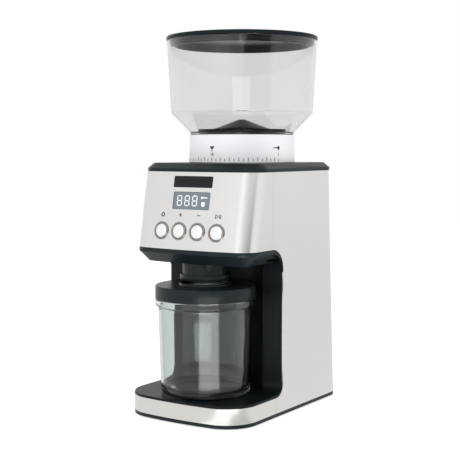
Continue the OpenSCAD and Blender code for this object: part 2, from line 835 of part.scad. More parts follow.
// Outline points of a spur gear with involute flanks; the middle of a tooth lies on the X axis.
function involute(a) = tan(a) * 180 / PI - a;
function flank(r, rp, rb, teeth) =
    90 / teeth - backlash / 2 / rp * 180 / PI + involute(pressure) - (r > rb ? involute(acos(rb / r)) : 0);
function gear_points(teeth, m) =
    let (rp = teeth * m / 2, rb = rp * cos(pressure), ra = rp + tooth_tip * m, rf = rp - tooth_root * m,
         start = max(rb, rf), rs = [if (rb > rf) rf, for (k = [0 : 4]) start + (ra - start) * k / 4],
         last = len(rs) - 1)
    [for (i = [0 : teeth - 1], s = [-1, 1], k = [0 : last])
        let (r = rs[s < 0 ? k : last - k], a = i * 360 / teeth + s * flank(r, rp, rb, teeth))
        [r * cos(a), r * sin(a)]];

module gear(teeth, m, h) {
    linear_extrude(h) polygon(gear_points(teeth, m));
}

module output_gear() {
    color([0.85, 0.83, 0.75]) translate([0, axis_y, z_gear_b]) difference() {
        rotate([0, 0, idler_angle]) gear(output_teeth, module_b, gear_b_h);
        translate([0, 0, -1]) cylinder(r = shaft_r, h = gear_b_h + 2);
        translate([0, 0, 5]) tube(out_pitch_r - 5, shaft_r + 5, 10);
    }
}

module idler_gear() {
    color([0.85, 0.83, 0.75]) translate([idler_x, motor_y, 0]) difference() {
        union() {
            translate([0, 0, z_gear_a]) rotate([0, 0, 180]) gear(idler_large_teeth, module_a, gear_a_h);
            translate([0, 0, z_gear_a + 1]) cylinder(r = small_pitch_r - 2, h = z_gear_b - z_gear_a);
            translate([0, 0, z_gear_b]) rotate([0, 0, idler_angle + 180 + 180 / idler_small_teeth])
                gear(idler_small_teeth, module_b, gear_b_h);
        }
        translate([0, 0, z_gear_a - 1]) cylinder(r = pin_r + run, h = z_gear_b - z_gear_a + gear_b_h + 2);
    }
}

module idler_pin() {
    color([0.75, 0.75, 0.77]) translate([idler_x, motor_y, z_case + 1]) cylinder(r = pin_r, h = z_case_lid + 2.4 - z_case - 1);
}

module impeller() {
    color([0.85, 0.83, 0.75]) translate([0, axis_y, z_impeller]) difference() {
        union() {
            cylinder(r = 12, h = z_cone - z_impeller);
            for (a = [0 : 60 : 300]) rotate([0, 0, a]) translate([8, -1.2, 0]) cube([sweep_r - 9.2, 2.4, 7]);
        }
        translate([0, 0, -1]) cylinder(r = shaft_r, h = 20);
    }
}

// A cone burr with helical-looking cutting grooves, cut as straight slots that lean round the cone.
module cone_burr() {
    grooves = 6;
    color([0.6, 0.6, 0.62]) translate([0, axis_y, z_cone]) difference() {
        cylinder(r1 = burr_r, r2 = burr_top_r, h = burr_h);
        translate([0, 0, -1]) cylinder(r = shaft_r, h = burr_h + 2);
        for (i = [0 : grooves - 1]) rotate([0, 0, i * 360 / grooves]) translate([burr_r - 2, 0, 0])
            rotate([24, -24, 0]) translate([0, -1.2, -3]) cube([8, 2.4, burr_h * 1.6]);
    }
}

module burr_nut() {
    color([0.7, 0.7, 0.72]) translate([0, axis_y, z_cone + burr_h]) difference() {
        cylinder(r = 7.5, h = 4, $fn = 6);
        translate([0, 0, -1]) cylinder(r = shaft_r, h = 8);
    }
}

module motor_can() {
    color([0.5, 0.51, 0.53]) translate([0, motor_y, z_motor]) difference() {
        union() {
            translate([0, 0, 4]) cylinder(r = motor_r, h = motor_l - 4);
            translate([0, 0, motor_l - eps]) cylinder(r = bush_r - fit, h = 3);
        }
        translate([0, 0, 3]) cylinder(r = motor_r - 1.8, h = motor_l - 6);
        cylinder(r = motor_shaft_r + run, h = motor_l + 10);
        for (a = motor_screw_angles) rotate([0, 0, a]) translate([motor_screw_reach, 0, motor_l - 7])
            cylinder(r = screw_r, h = 10);
    }
}

motor_screw_reach = 16;
motor_screw_angles = [135, 225];

module at_motor_screws() {
    for (a = motor_screw_angles) translate([0, motor_y, 0]) rotate([0, 0, a]) translate([motor_screw_reach, 0, 0]) children();
}

module motor_screws() {
    color([0.7, 0.7, 0.72]) at_motor_screws() {
        translate([0, 0, z_case_floor]) cylinder(r = 2.8, h = 1.7);
        translate([0, 0, z_case - bracket_t - 2.9]) cylinder(r = screw_r, h = bracket_t + case_t + 2.9 + eps);
    }
}

module motor_end_bell() {
    color([0.12, 0.12, 0.13]) translate([0, motor_y, z_motor]) difference() {
        union() {
            cylinder(r = motor_r, h = 4);
            translate([0, 0, -5]) cylinder(r = 8, h = 5 + eps);
            translate([0, 0, 4 - eps]) tube(motor_r - 1.8 - fit, motor_r - 4, 5);
        }
        translate([0, 0, -3]) cylinder(r = motor_shaft_r + run, h = 20);
    }
}

module motor_magnets() {
    outer = motor_r - 1.8 - fit;
    color([0.25, 0.25, 0.27]) translate([0, motor_y, z_motor + 12]) difference() {
        tube(outer, outer - 4.5, motor_l - 26);
        for (a = [0, 180]) rotate([0, 0, a]) translate([0, -5, -1]) cube([50, 10, motor_l]);
    }
}

module motor_armature() {
    slots = 7;
    r = motor_r - 1.8 - fit - 4.5 - 0.8;
    color([0.45, 0.3, 0.2]) translate([0, motor_y, z_motor + 14]) difference() {
        union() {
            cylinder(r = r, h = motor_l - 30);
            translate([0, 0, -7]) cylinder(r = 7, h = 7 + eps);
        }
        translate([0, 0, -10]) cylinder(r = motor_shaft_r, h = motor_l + 10);
        for (i = [0 : slots - 1]) rotate([0, 0, i * 360 / slots]) translate([r * 0.55, -1.6, -eps])
            cube([r, 3.2, motor_l]);
    }
}

module motor_shaft() {
    color([0.75, 0.75, 0.77]) translate([0, motor_y, z_motor - 2.5])
        cylinder(r = motor_shaft_r, h = z_gear_a + gear_a_h + 0.5 - z_motor + 2.5);
}

module motor_pinion() {
    color([0.72, 0.6, 0.3]) translate([0, motor_y, z_gear_a]) difference() {
        rotate([0, 0, 180 / pinion_teeth]) gear(pinion_teeth, module_a, gear_a_h);
        translate([0, 0, -1]) cylinder(r = motor_shaft_r, h = gear_a_h + 2);
    }
}

// A bent steel bracket that carries motor and gear case on two legs.
module motor_bracket() {
    leg_w = 30;
    foot_l = 10;
    leg_z = z_rim + 6 + 0.1;
    color([0.6, 0.61, 0.63]) difference() {
        union() {
            translate([-leg_x, leg_y - leg_w / 2, z_case - bracket_t]) cube([2 * leg_x, leg_w, bracket_t]);
            translate([-28, axis_y - 5, z_case - bracket_t]) cube([56, leg_y - axis_y + 30, bracket_t]);
            for (s = [-1, 1]) {
                translate([s * (leg_x - bracket_t / 2) - bracket_t / 2, leg_y - leg_w / 2, leg_z])
                    cube([bracket_t, leg_w, z_case - leg_z - eps]);
                translate([s * (leg_x - foot_l / 2) - foot_l / 2, leg_y - leg_w / 2, leg_z])
                    cube([foot_l, leg_w + bracket_reach, bracket_t]);
            }
        }
        translate([0, motor_y, 0]) cylinder(r = bush_r, h = far);
        at_motor_screws() cylinder(r = screw_r, h = far);
        for (s = [-1, 1]) translate([s * screw_x, screw_ys[1], 0]) cylinder(r = screw_r, h = 40);
    }
}

bracket_reach = max(0, screw_ys[1] + 6 - leg_y - 15);

module bracket_screws() {
    color([0.7, 0.7, 0.72]) for (s = [-1, 1]) translate([s * screw_x, screw_ys[1], z_rim + 6.1 + bracket_t]) difference() {
        cylinder(r = 3.2, h = 2.4, $fn = 6);
        translate([0, 0, -1]) cylinder(r = screw_r, h = 8);
    }
}

// The outer burr: a ring whose conical bore follows the cone burr with a gap that closes downwards.
module ring_burr() {
    gap_low = 0.9;
    gap_high = 2.5;
    slope = (burr_r - burr_top_r) / burr_h;
    low = burr_r - slope * (z_ring_burr - z_cone) + gap_low;
    high = burr_r - slope * (z_ring_burr + ring_burr_h - z_cone) + gap_high;
    color([0.6, 0.6, 0.62]) translate([0, axis_y, z_ring_burr]) difference() {
        cylinder(r = ring_burr_r, h = ring_burr_h);
        translate([0, 0, -eps]) cylinder(r1 = low, r2 = high, h = ring_burr_h + 2 * eps);
        for (a = [60 : 120 : 300]) rotate([0, 0, a]) translate([burr_screw_at, 0, ring_burr_h - 4])
            cylinder(r = 1.2, h = 10);
    }
}

burr_screw_at = 21.5;

module burr_holder() {
    tab = 3.2;
    color([0.16, 0.16, 0.17]) translate([0, axis_y, z_holder]) difference() {
        union() {
            cylinder(r = holder_r, h = holder_h);
            for (s = [-1, 1]) translate([s * (holder_r + tab / 2 - 0.5) - tab / 2 - 0.5, -4, 9.5]) cube([tab + 1, 8, 9]);
        }
        translate([0, 0, -1]) cylinder(r = ring_burr_r - 1, h = 60);
        translate([0, 0, 1]) cylinder(r = ring_burr_r, h = ring_burr_h);
        translate([0, 0, 1 + ring_burr_h + 2.2]) cylinder(r = holder_bore_r, h = 60);
    }
    color([0.16, 0.16, 0.17]) translate([0, axis_y, z_ring_burr + ring_burr_h]) difference() {
        cylinder(r = ring_burr_r + 1, h = 2.2 - eps);
        translate([0, 0, -1]) cylinder(r = ring_burr_r - 5.5, h = 10);
        for (a = [60 : 120 : 300]) rotate([0, 0, a]) translate([burr_screw_at, 0, -1]) cylinder(r = 1.2, h = 10);
    }
}

module burr_screws() {
    color([0.75, 0.75, 0.77]) for (a = [60 : 120 : 300]) translate([0, axis_y, z_ring_burr + ring_burr_h]) rotate([0, 0, a])
        translate([burr_screw_at, 0, 0]) {
            translate([0, 0, 2.2]) cylinder(r = 2.2, h = 1.6);
            translate([0, 0, -3.8]) cylinder(r = 1.2, h = 6 + eps);
        }
}

// ---------- setting ring, hopper ----------

module setting_ring() {
    hub_h = ring_web_z - z_chamber_top - 1;
    color([0.93, 0.93, 0.94]) translate([0, axis_y, 0]) {
        rotate_extrude($fn = 180) polygon([
            [ring_bore_r, z_ring], [ring_r, z_ring], [ring_top_r, z_ring_top - 0.6],
            [ring_top_r - 0.6, z_ring_top], [ring_bore_r, z_ring_top], [ring_bore_r, ring_web_z + ring_web_t],
            [holder_r + 0.4, ring_web_z + ring_web_t], [holder_r + 0.4, ring_web_z - hub_h],
            [hub_r, ring_web_z - hub_h], [hub_r, ring_web_z], [ring_bore_r, ring_web_z]
        ]);
    }
}

module hopper() {
    spigot_r = ring_bore_r - 0.4;
    spigot_z = ring_web_z + ring_web_t + 4;
    foot_r = ring_top_r - 0.4;
    seat_r = base_disc_r + 0.1;
    floor_z = z_hopper + 3.4;
    cone_slope = (hopper_waist_r - foot_r) / (z_waist - z_hopper - 1.8);
    cone_r = foot_r + cone_slope * (floor_z - z_hopper - 1.8) - hopper_wall * sqrt(1 + cone_slope * cone_slope);
    color([0.85, 0.87, 0.88, 0.35]) translate([0, axis_y, 0]) rotate_extrude($fn = 180) polygon([
        [spigot_bore_r, spigot_z], [spigot_r, spigot_z], [spigot_r, z_hopper], [foot_r, z_hopper],
        [foot_r, z_hopper + 1.8], [hopper_waist_r, z_waist], [hopper_top_r, z_hopper_top],
        [hopper_top_r - hopper_wall, z_hopper_top], [hopper_waist_r - hopper_wall, z_waist + 0.8],
        [max(cone_r, seat_r), floor_z], [seat_r, floor_z], [seat_r, z_hopper - 1], [spigot_bore_r, z_hopper - 1]
    ]);
}

feed_hole_r = feed_r - feed_wall;
funnel_top_r = base_disc_r - 1.6;
funnel_top_z = z_hopper + 5;
funnel_low_z = z_hopper - 4;
funnel_slope = (funnel_top_z - funnel_low_z) / (funnel_top_r - feed_hole_r);
function funnel_z(r) = funnel_low_z + (r - feed_hole_r) * funnel_slope;

// The dark floor of the hopper: a raised rim, a funnel and the tube that feeds the burrs.
module hopper_base() {
    tube_z = z_holder + holder_h - 5;
    rim_z = funnel_top_z + 1.2;
    color([0.1, 0.11, 0.12]) translate([0, axis_y, 0]) rotate_extrude($fn = 180) polygon([
        [feed_hole_r, tube_z], [feed_r, tube_z], [feed_r, funnel_low_z - 2.6], [base_disc_r - 2, z_hopper + 0.3],
        [base_disc_r, z_hopper + 0.3], [base_disc_r, rim_z], [funnel_top_r, rim_z],
        [funnel_top_r, funnel_top_z], [feed_hole_r, funnel_low_z]
    ]);
}

// The pointed roof that keeps fingers out of the feed hole, on four legs that stand on the funnel.
module bean_guard() {
    roof_r = 29.5;
    roof_z = z_hopper + 6.8;
    roof_h = 9.8;
    point_r = 3.5;
    leg_in = feed_hole_r + 1;
    leg_out = roof_r - 0.2;
    color([0.07, 0.08, 0.09]) translate([0, axis_y, 0]) {
        difference() {
            translate([0, 0, roof_z]) cylinder(r1 = roof_r, r2 = point_r, h = roof_h);
            translate([0, 0, roof_z - 0.6]) cylinder(r1 = roof_r - 1, r2 = 1, h = roof_h - 1.4);
        }
        intersection() {
            rotate_extrude($fn = 180) polygon([
                [leg_in, funnel_z(leg_in)], [leg_out, funnel_z(leg_out)], [leg_out, roof_z + 0.04], [leg_in, roof_z + 0.6]
            ]);
            for (a = [0, 90]) rotate([0, 0, a + 45]) translate([-far / 2, -1.5, z_ring]) cube([far, 3, far / 2]);
        }
    }
}

module hopper_lid() {
    skirt_r = hopper_top_r - hopper_wall - 5.6;
    skirt_h = 6.6;
    color([0.1, 0.12, 0.13]) translate([0, axis_y, z_hopper_top + 0.1]) {
        rotate_extrude($fn = 180) polygon([
            [0, 0], [skirt_r - 2, 0], [skirt_r - 2, -skirt_h], [skirt_r, -skirt_h], [skirt_r, 0], [lid_r, 0],
            [lid_r, lid_t - 1], [lid_r - 1.6, lid_t], [lid_r - 7, lid_t], [lid_r - 7.6, lid_t - 1.2],
            [0, lid_t - 1.2]
        ]);
    }
}

module lid_seal() {
    inner = hopper_top_r - hopper_wall - 5.6;
    seal_z = z_hopper_top - 4.6;
    wall_slope = (hopper_top_r - hopper_waist_r) / hopper_wall_h;
    outer = hopper_top_r - hopper_wall - wall_slope * 5 - 0.3;
    color([0.75, 0.76, 0.77]) translate([0, axis_y, seal_z]) difference() {
        tube(outer, inner, 3.2);
        translate([0, 0, 0.9]) tube(outer + 1, outer - 1.4, 1.2);
    }
}

// ---------- jar ----------

module jar() {
    low_r = jar_lid_r - 5.6;
    high_r = jar_lid_r - 3.1;
    neck_r = jar_lid_r - 2.6;
    rim_z = z_jar - 6.4;
    round_r = 8;
    floor_z = z_deck + 4;
    color([0.8, 0.84, 0.84, 0.35]) translate([0, jar_y, 0]) rotate_extrude($fn = 180) difference() {
        polygon([
            [0, z_deck + 1.2], [jar_foot_r - 6, z_deck + 1.2], [jar_foot_r - 5, z_deck],
            [low_r - round_r, z_deck],
            for (a = [-80 : 10 : 0]) [low_r - round_r * (1 - cos(a)), z_deck + round_r * (1 + sin(a))],
            [high_r, rim_z - 1.5], [jar_lid_r, rim_z], [jar_lid_r, z_jar - 0.1], [neck_r, z_jar - 0.1],
            [neck_r, z_jar + 9], [0, z_jar + 9]
        ]);
        polygon([
            [-1, floor_z], [low_r - jar_wall - round_r, floor_z],
            for (a = [-80 : 10 : 0])
                [low_r - jar_wall - round_r * (1 - cos(a)), floor_z + round_r * (1 + sin(a))],
            [high_r - jar_wall, rim_z - 4], [neck_r - jar_wall, rim_z], [neck_r - jar_wall, z_jar + 20],
            [-1, z_jar + 20]
        ]);
    }
}

module jar_lid() {
    skirt_bore = jar_lid_r - 2.3;
    lug_r = jar_lid_r - 2.6 - jar_wall - 0.3;
    plate = 2.5;
    collar_h = 2.2;
    lug_angles = [62, 182, 302];
    color([0.12, 0.14, 0.15]) translate([0, jar_y, 0]) {
        difference() {
            union() {
                rotate_extrude($fn = 180) polygon([
                    [jar_hole_r, z_jar_lid - plate], [skirt_bore, z_jar_lid - plate], [skirt_bore, z_jar],
                    [jar_lid_r, z_jar], [jar_lid_r, z_jar_lid - 1], [jar_lid_r - 1, z_jar_lid],
                    [jar_hole_r + 2.4, z_jar_lid], [jar_hole_r + 2.4, z_jar_lid + collar_h],
                    [jar_hole_r, z_jar_lid + collar_h]
                ]);
            }
        }
        intersection() {
            translate([0, 0, z_jar - 6.4]) tube(lug_r, lug_r - 2, jar_lid_h - plate + 6.4 + eps);
            for (a = lug_angles) rotate([0, 0, a - 90]) translate([0, 0, z_jar - 10])
                linear_extrude(far) polygon([[0, 0], [far * cos(12.5), -far * sin(12.5)], [far * cos(12.5), far * sin(12.5)]]);
        }
    }
}

// ---------- mains ----------

gland_r = 6.4;
gland_x = 45;
gland_z = 30;

// Places its children on the outside of the leaning back, with +Y out of it.
module on_back() {
    translate([0, back, foot_lift]) rotate([back_angle, 0, 0]) translate([gland_x, 0, gland_z]) children();
}

module cord_gland() {
    flange_t = 0.9;
    color([0.06, 0.06, 0.06]) on_back() rotate([90, 0, 0]) difference() {
        union() {
            translate([0, 0, -flange_t]) cylinder(r = gland_r + 2.6, h = flange_t);
            translate([0, 0, -eps]) cylinder(r = gland_r, h = 11);
        }
        translate([0, 0, -5]) cylinder(r = lead_r, h = 30);
    }
}

module power_board() {
    color([0.1, 0.35, 0.2]) translate([-35, rib_y - board_t / 2, z_rim + 0.4]) cube([70, board_t, z_motor - z_rim - 10]);
}

module power_parts() {
    y0 = rib_y - board_t / 2;
    color([0.2, 0.2, 0.22]) {
        translate([-30, y0 - 22, 30]) cube([26, 22, 30]);
        for (x = [8, 24]) translate([x, y0, 36]) rotate([90, 0, 0]) cylinder(r = 6.5, h = 22);
        translate([4, y0 - 12, 52]) cube([24, 12, 14]);
    }
}

base_plate();
rubber_feet();
base_screws();
base_band();
base_deck();
bay_liner();
chin_cover();
rear_shell();
front_shell();
top_cover();
nameplate();
display_lens();
display_module();
panel_carrier();
control_board();
tact_switches();
board_screws();
button_bezels();
button_mode();
button_plus();
button_minus();
button_start();
outlet_chute();
burr_chamber();
gear_case();
gear_case_lid();
gear_case_screws();
shaft_bushes();
burr_shaft();
output_gear();
impeller();
cone_burr();
burr_nut();
idler_gear();
idler_pin();
motor_can();
motor_end_bell();
motor_magnets();
motor_armature();
motor_shaft();
motor_pinion();
motor_screws();
motor_bracket();
bracket_screws();
ring_burr();
burr_holder();
burr_screws();
setting_ring();
hopper();
hopper_base();
bean_guard();
hopper_lid();
lid_seal();
jar();
jar_lid();
power_board();
power_parts();
cord_gland();
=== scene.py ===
import math

import bmesh
import bpy
import numpy as np
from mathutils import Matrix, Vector


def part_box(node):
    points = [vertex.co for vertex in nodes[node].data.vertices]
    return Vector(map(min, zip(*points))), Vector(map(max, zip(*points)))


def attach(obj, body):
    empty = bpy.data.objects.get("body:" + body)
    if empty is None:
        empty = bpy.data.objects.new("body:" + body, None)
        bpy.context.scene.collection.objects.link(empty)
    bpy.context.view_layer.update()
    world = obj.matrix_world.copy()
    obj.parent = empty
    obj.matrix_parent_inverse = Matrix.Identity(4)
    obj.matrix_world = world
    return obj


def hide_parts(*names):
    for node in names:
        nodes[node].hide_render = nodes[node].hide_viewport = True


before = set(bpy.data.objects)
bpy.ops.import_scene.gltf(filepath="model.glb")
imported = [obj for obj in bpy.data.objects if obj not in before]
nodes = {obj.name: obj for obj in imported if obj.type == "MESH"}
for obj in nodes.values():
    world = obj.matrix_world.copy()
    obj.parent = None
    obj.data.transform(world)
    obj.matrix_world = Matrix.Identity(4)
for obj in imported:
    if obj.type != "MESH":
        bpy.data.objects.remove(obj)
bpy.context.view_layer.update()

MM = 0.001
scene = bpy.context.scene


# ---------- sizes, in millimetres, in the frame's axes ----------

def span(node):
    """Lowest and highest corner of a CAD node in millimetres."""
    low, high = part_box(node)
    return np.array(low) / MM, np.array(high) / MM


ring_low, ring_high = span("setting_ring")
hopper_low, hopper_high = span("hopper")
jar_low, jar_high = span("jar")
head_low, head_high = span("front_shell")

# The ring and the hopper share one upright axis and the jar has another, both at x = 0.
axis_y = (ring_low[1] + ring_high[1]) / 2
jar_y = (jar_low[1] + jar_high[1]) / 2

ring_taper, ring_height, ring_gap = 0.8, 28.9, 0.2
ring_r = ring_high[0]
ring_top_r = ring_r - ring_taper
ring_bottom, ring_top = ring_high[2] - ring_height, ring_high[2]

hopper_wall, cone_height = 2.0, 22.9
hopper_z = ring_top + ring_gap
waist_r, waist_z = 75.2, hopper_z + cone_height
hopper_top_r, hopper_top_z = hopper_high[0], hopper_high[2]
disc_r = span("hopper_base")[1][0]
lid_r, lid_z = span("hopper_lid")[1][[0, 2]]

rim_height = 6.4
jar_r = jar_high[0]
jar_rim_z = span("jar_lid")[0][2] + rim_height
deck_z = span("base_deck")[1][2]

# The front panel leans back by head_lean over its height and bows outwards with the radius panel_bow.
head_lean, panel_bow = 14.6, 426.0
head_y, head_z = head_low[1], head_low[2]
head_angle = math.atan(head_lean / (head_high[2] - head_z))
button_pitch, button_up, sign_up, window_up, nameplate_up = 22.5, 18.7, 35.0, 49.7, 68.8
button_xs = [(i - 1.5) * button_pitch for i in range(4)]


# ---------- surfaces ----------

def grid_faces(rows, cols, wrap_rows=False, wrap_cols=False):
    """Corner numbers of the four-sided faces between neighbouring rows and columns of a grid."""
    r = np.arange(rows if wrap_rows else rows - 1)[:, None]
    c = np.arange(cols if wrap_cols else cols - 1)[None, :]
    r_next, c_next = (r + 1) % rows, (c + 1) % cols
    corners = [r * cols + c, r * cols + c_next, r_next * cols + c_next, r_next * cols + c]
    return np.stack(corners, -1).reshape(-1, 4)


def gather(*pieces):
    """Several (points, faces) pairs as one."""
    points, faces, count = [], [], 0
    for p, f in pieces:
        points.append(p.reshape(-1, 3))
        faces.append(f + count)
        count += len(points[-1])
    return np.concatenate(points), np.concatenate(faces)


def rounded(corners, radii, steps=6, most=0.49):
    """A closed outline whose corner i is replaced by an arc of radius radii[i]. The arc's ends lie
    radius * tan(turn / 2) from the corner along both edges, or nearly half the shorter edge if that is less."""
    corners = np.array(corners, float)
    out = []
    for i, radius in enumerate(radii):
        here, before, after = corners[i], corners[i - 1], corners[(i + 1) % len(corners)]
        if radius <= 0:
            out.append(here[None])
            continue
        a, b = before - here, after - here
        length_a, length_b = np.linalg.norm(a), np.linalg.norm(b)
        a, b = a / length_a, b / length_b
        half_angle = math.acos(np.clip(a @ b, -1, 1)) / 2
        reach = min(radius / math.tan(half_angle), most * length_a, most * length_b)
        radius = reach * math.tan(half_angle)
        middle = here + (a + b) / np.linalg.norm(a + b) * radius / math.sin(half_angle)
        start, end = here + a * reach - middle, here + b * reach - middle
        t = np.linspace(0, 1, steps + 1)[:, None]
        turn = math.acos(np.clip(start @ end / radius ** 2, -1, 1))
        out.append(middle + (np.sin((1 - t) * turn) * start + np.sin(t * turn) * end) / math.sin(turn))
    return np.concatenate(out)


def held(profile, gap=0.5):
    """The same closed outline with a point at gap from both ends of each edge longer than three gaps,
    so that the smooth shading of a rounded corner ends there and flat runs shade flat."""
    after = np.roll(profile, -1, 0)
    length = np.linalg.norm(after - profile, axis=1)
    long_edge = length > 3 * gap
    share = np.where(long_edge, gap / np.maximum(length, 1e-9), 0)[:, None]
    near_start, near_end = profile + (after - profile) * share, after + (profile - after) * share
    keep = np.repeat(long_edge, 3)
    keep[::3] = True
    return np.stack([profile, near_start, near_end], 1).reshape(-1, 2)[keep]


def turned(profile, centre_y, count=256):
    """A closed profile of (radius, height) carried once round an upright axis at y = centre_y:
    x = r cos a, y = centre_y + r sin a, z = height, with a in count steps."""
    profile = held(profile)
    a = np.linspace(0, 2 * math.pi, count, endpoint=False)
    r, z = profile[:, :1], profile[:, 1:]
    points = np.stack([r * np.cos(a), centre_y + r * np.sin(a), z + 0 * a], -1)
    return points.reshape(-1, 3), grid_faces(len(profile), count, True, True)


def slab(outline, low, high, edge, steps=3):
    """A plate with a flat outline (k, 2), from height low to high, whose upper edge is rounded by edge.
    Row t of the edge is the outline drawn in along its own normals by edge (1 - cos t), at the height
    high - edge (1 - sin t). Both faces are rings of the outline shrunk towards its middle in equal steps."""
    ahead, behind = np.roll(outline, -1, 0), np.roll(outline, 1, 0)
    along = ahead - behind
    normal = np.stack([along[:, 1], -along[:, 0]], -1) / np.linalg.norm(along, axis=1, keepdims=True)
    t = np.linspace(0, math.pi / 2, steps + 1)
    flat_margin, rings = 0.15, 6
    inset = np.concatenate([[0.0], edge * (1 - np.cos(t)), [edge + flat_margin]])
    height = np.concatenate([[low], high - edge * (1 - np.sin(t)), [high]])
    rows = outline[None] - normal[None] * inset[:, None, None]
    centre = outline.mean(0)
    draw = np.linspace(0, 1, rings + 1)[:, None, None]
    under = centre + (rows[0] - centre) * draw[:-1]
    over = centre + (rows[-1] - centre) * draw[-2::-1]
    plan = np.concatenate([under, rows, over])
    z = np.concatenate([np.full(rings, low), height, np.full(rings, high)])
    points = np.concatenate([plan, np.broadcast_to(z[:, None, None], plan.shape[:2] + (1,))], -1)
    return points.reshape(-1, 3), grid_faces(len(z), len(outline), False, True)


def circle(radius, count, centre):
    """Points of a circle, counter-clockwise: centre + radius (cos a, sin a)."""
    a = np.linspace(0, 2 * math.pi, count, endpoint=False)
    return np.stack([centre[0] + radius * np.cos(a), centre[1] + radius * np.sin(a)], -1)


def divided(outline, longest):
    """A closed outline whose edges are cut into equal parts no longer than longest:
    part k of an edge of n parts starts at its first corner plus k / n of the edge."""
    after = np.roll(outline, -1, 0)
    count = np.ceil(np.linalg.norm(after - outline, axis=1) / longest).astype(int).clip(1)
    first = np.repeat(np.arange(len(outline)), count)
    part = np.arange(count.sum()) - np.repeat(np.cumsum(count) - count, count)
    share = part / np.repeat(count, count)
    return outline[first] + (after - outline)[first] * share[:, None]


def box_outline(width, height, radius, longest=1.5):
    """A rounded rectangle round the origin, counter-clockwise, its sides cut into parts up to longest."""
    w, h = width / 2, height / 2
    return divided(rounded([(-w, -h), (w, -h), (w, h), (-w, h)], [radius] * 4), longest)


# ---------- pieces ----------

def piece(name, body, material, shape, replaces=(), crease=32, merge=2e-7):
    """A closed mesh from (points in millimetres, faces), its doubles merged and its faces turned outwards.
    Edges that turn by more than crease degrees stay sharp."""
    points, faces = shape
    mesh = bpy.data.meshes.new(name)
    mesh.from_pydata(np.ascontiguousarray(points) * MM, [], faces.tolist())
    work = bmesh.new()
    work.from_mesh(mesh)
    bmesh.ops.remove_doubles(work, verts=work.verts, dist=merge)
    bmesh.ops.dissolve_degenerate(work, edges=work.edges, dist=merge)
    bmesh.ops.recalc_face_normals(work, faces=work.faces)
    work.to_mesh(mesh)
    work.free()
    mesh.polygons.foreach_set("use_smooth", np.ones(len(mesh.polygons), bool))
    mesh.set_sharp_from_angle(angle=math.radians(crease))
    mesh.materials.append(material)
    made = bpy.data.objects.new(name, mesh)
    scene.collection.objects.link(made)
    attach(made, body)
    if replaces:
        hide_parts(*replaces)


def finish_node(name, material, edge, steps=2, least_turn=40):
    """Gives a CAD node its material. Where edge is above zero, it rounds by edge millimetres the edges that
    turn by more than least_turn degrees."""
    node = nodes[name]
    node.data.materials.clear()
    node.data.materials.append(material)
    if edge:
        weld = node.modifiers.new("join corners", "WELD")
        weld.merge_threshold = 1e-5
        bevel = node.modifiers.new("soft edges", "BEVEL")
        bevel.width = edge * MM
        bevel.segments = steps
        bevel.limit_method = "ANGLE"
        bevel.angle_limit = math.radians(least_turn)
        bevel.harden_normals = True
        bevel.use_clamp_overlap = True


# ---------- shared effects ----------

def group(name, inputs, outputs):
    """An empty shader node group with named number or vector sockets."""
    made = bpy.data.node_groups.new(name, "ShaderNodeTree")
    kinds = {"F": "NodeSocketFloat", "V": "NodeSocketVector"}
    for label, kind, value in inputs:
        socket = made.interface.new_socket(label, in_out="INPUT", socket_type=kinds[kind])
        if value is not None:
            socket.default_value = value
    for label, kind in outputs:
        made.interface.new_socket(label, in_out="OUTPUT", socket_type=kinds[kind])
    return made, made.nodes.new("NodeGroupInput"), made.nodes.new("NodeGroupOutput")


def math_node(tree, kind, a, b=None, clamp=False):
    """One arithmetic node; a and b are numbers or sockets."""
    node = tree.nodes.new("ShaderNodeMath")
    node.operation = kind
    node.use_clamp = clamp
    for i, value in enumerate((a, b)):
        if value is None:
            continue
        if isinstance(value, (int, float)):
            node.inputs[i].default_value = value
        else:
            tree.links.new(value, node.inputs[i])
    return node.outputs[0]


def noise(tree, vector, scale, detail, rough, stretch=None):
    """A noise pattern on a position, stretched by three factors where given."""
    if stretch:
        mapping = tree.nodes.new("ShaderNodeMapping")
        mapping.inputs["Scale"].default_value = stretch
        tree.links.new(vector, mapping.inputs["Vector"])
        vector = mapping.outputs[0]
    node = tree.nodes.new("ShaderNodeTexNoise")
    node.inputs["Scale"].default_value = scale
    node.inputs["Detail"].default_value = detail
    node.inputs["Roughness"].default_value = rough
    tree.links.new(vector, node.inputs["Vector"])
    return node.outputs["Fac"]


EFFECT_OUTPUTS = [("Height", "F"), ("Gloss Change", "F"), ("Shade Factor", "F")]


def weighted(tree, *parts):
    """The sum of the (socket, weight) parts."""
    total = None
    for socket, weight in parts[::-1]:
        product = math_node(tree, "MULTIPLY", socket, weight)
        total = product if total is None else math_node(tree, "ADD", product, total)
    return total


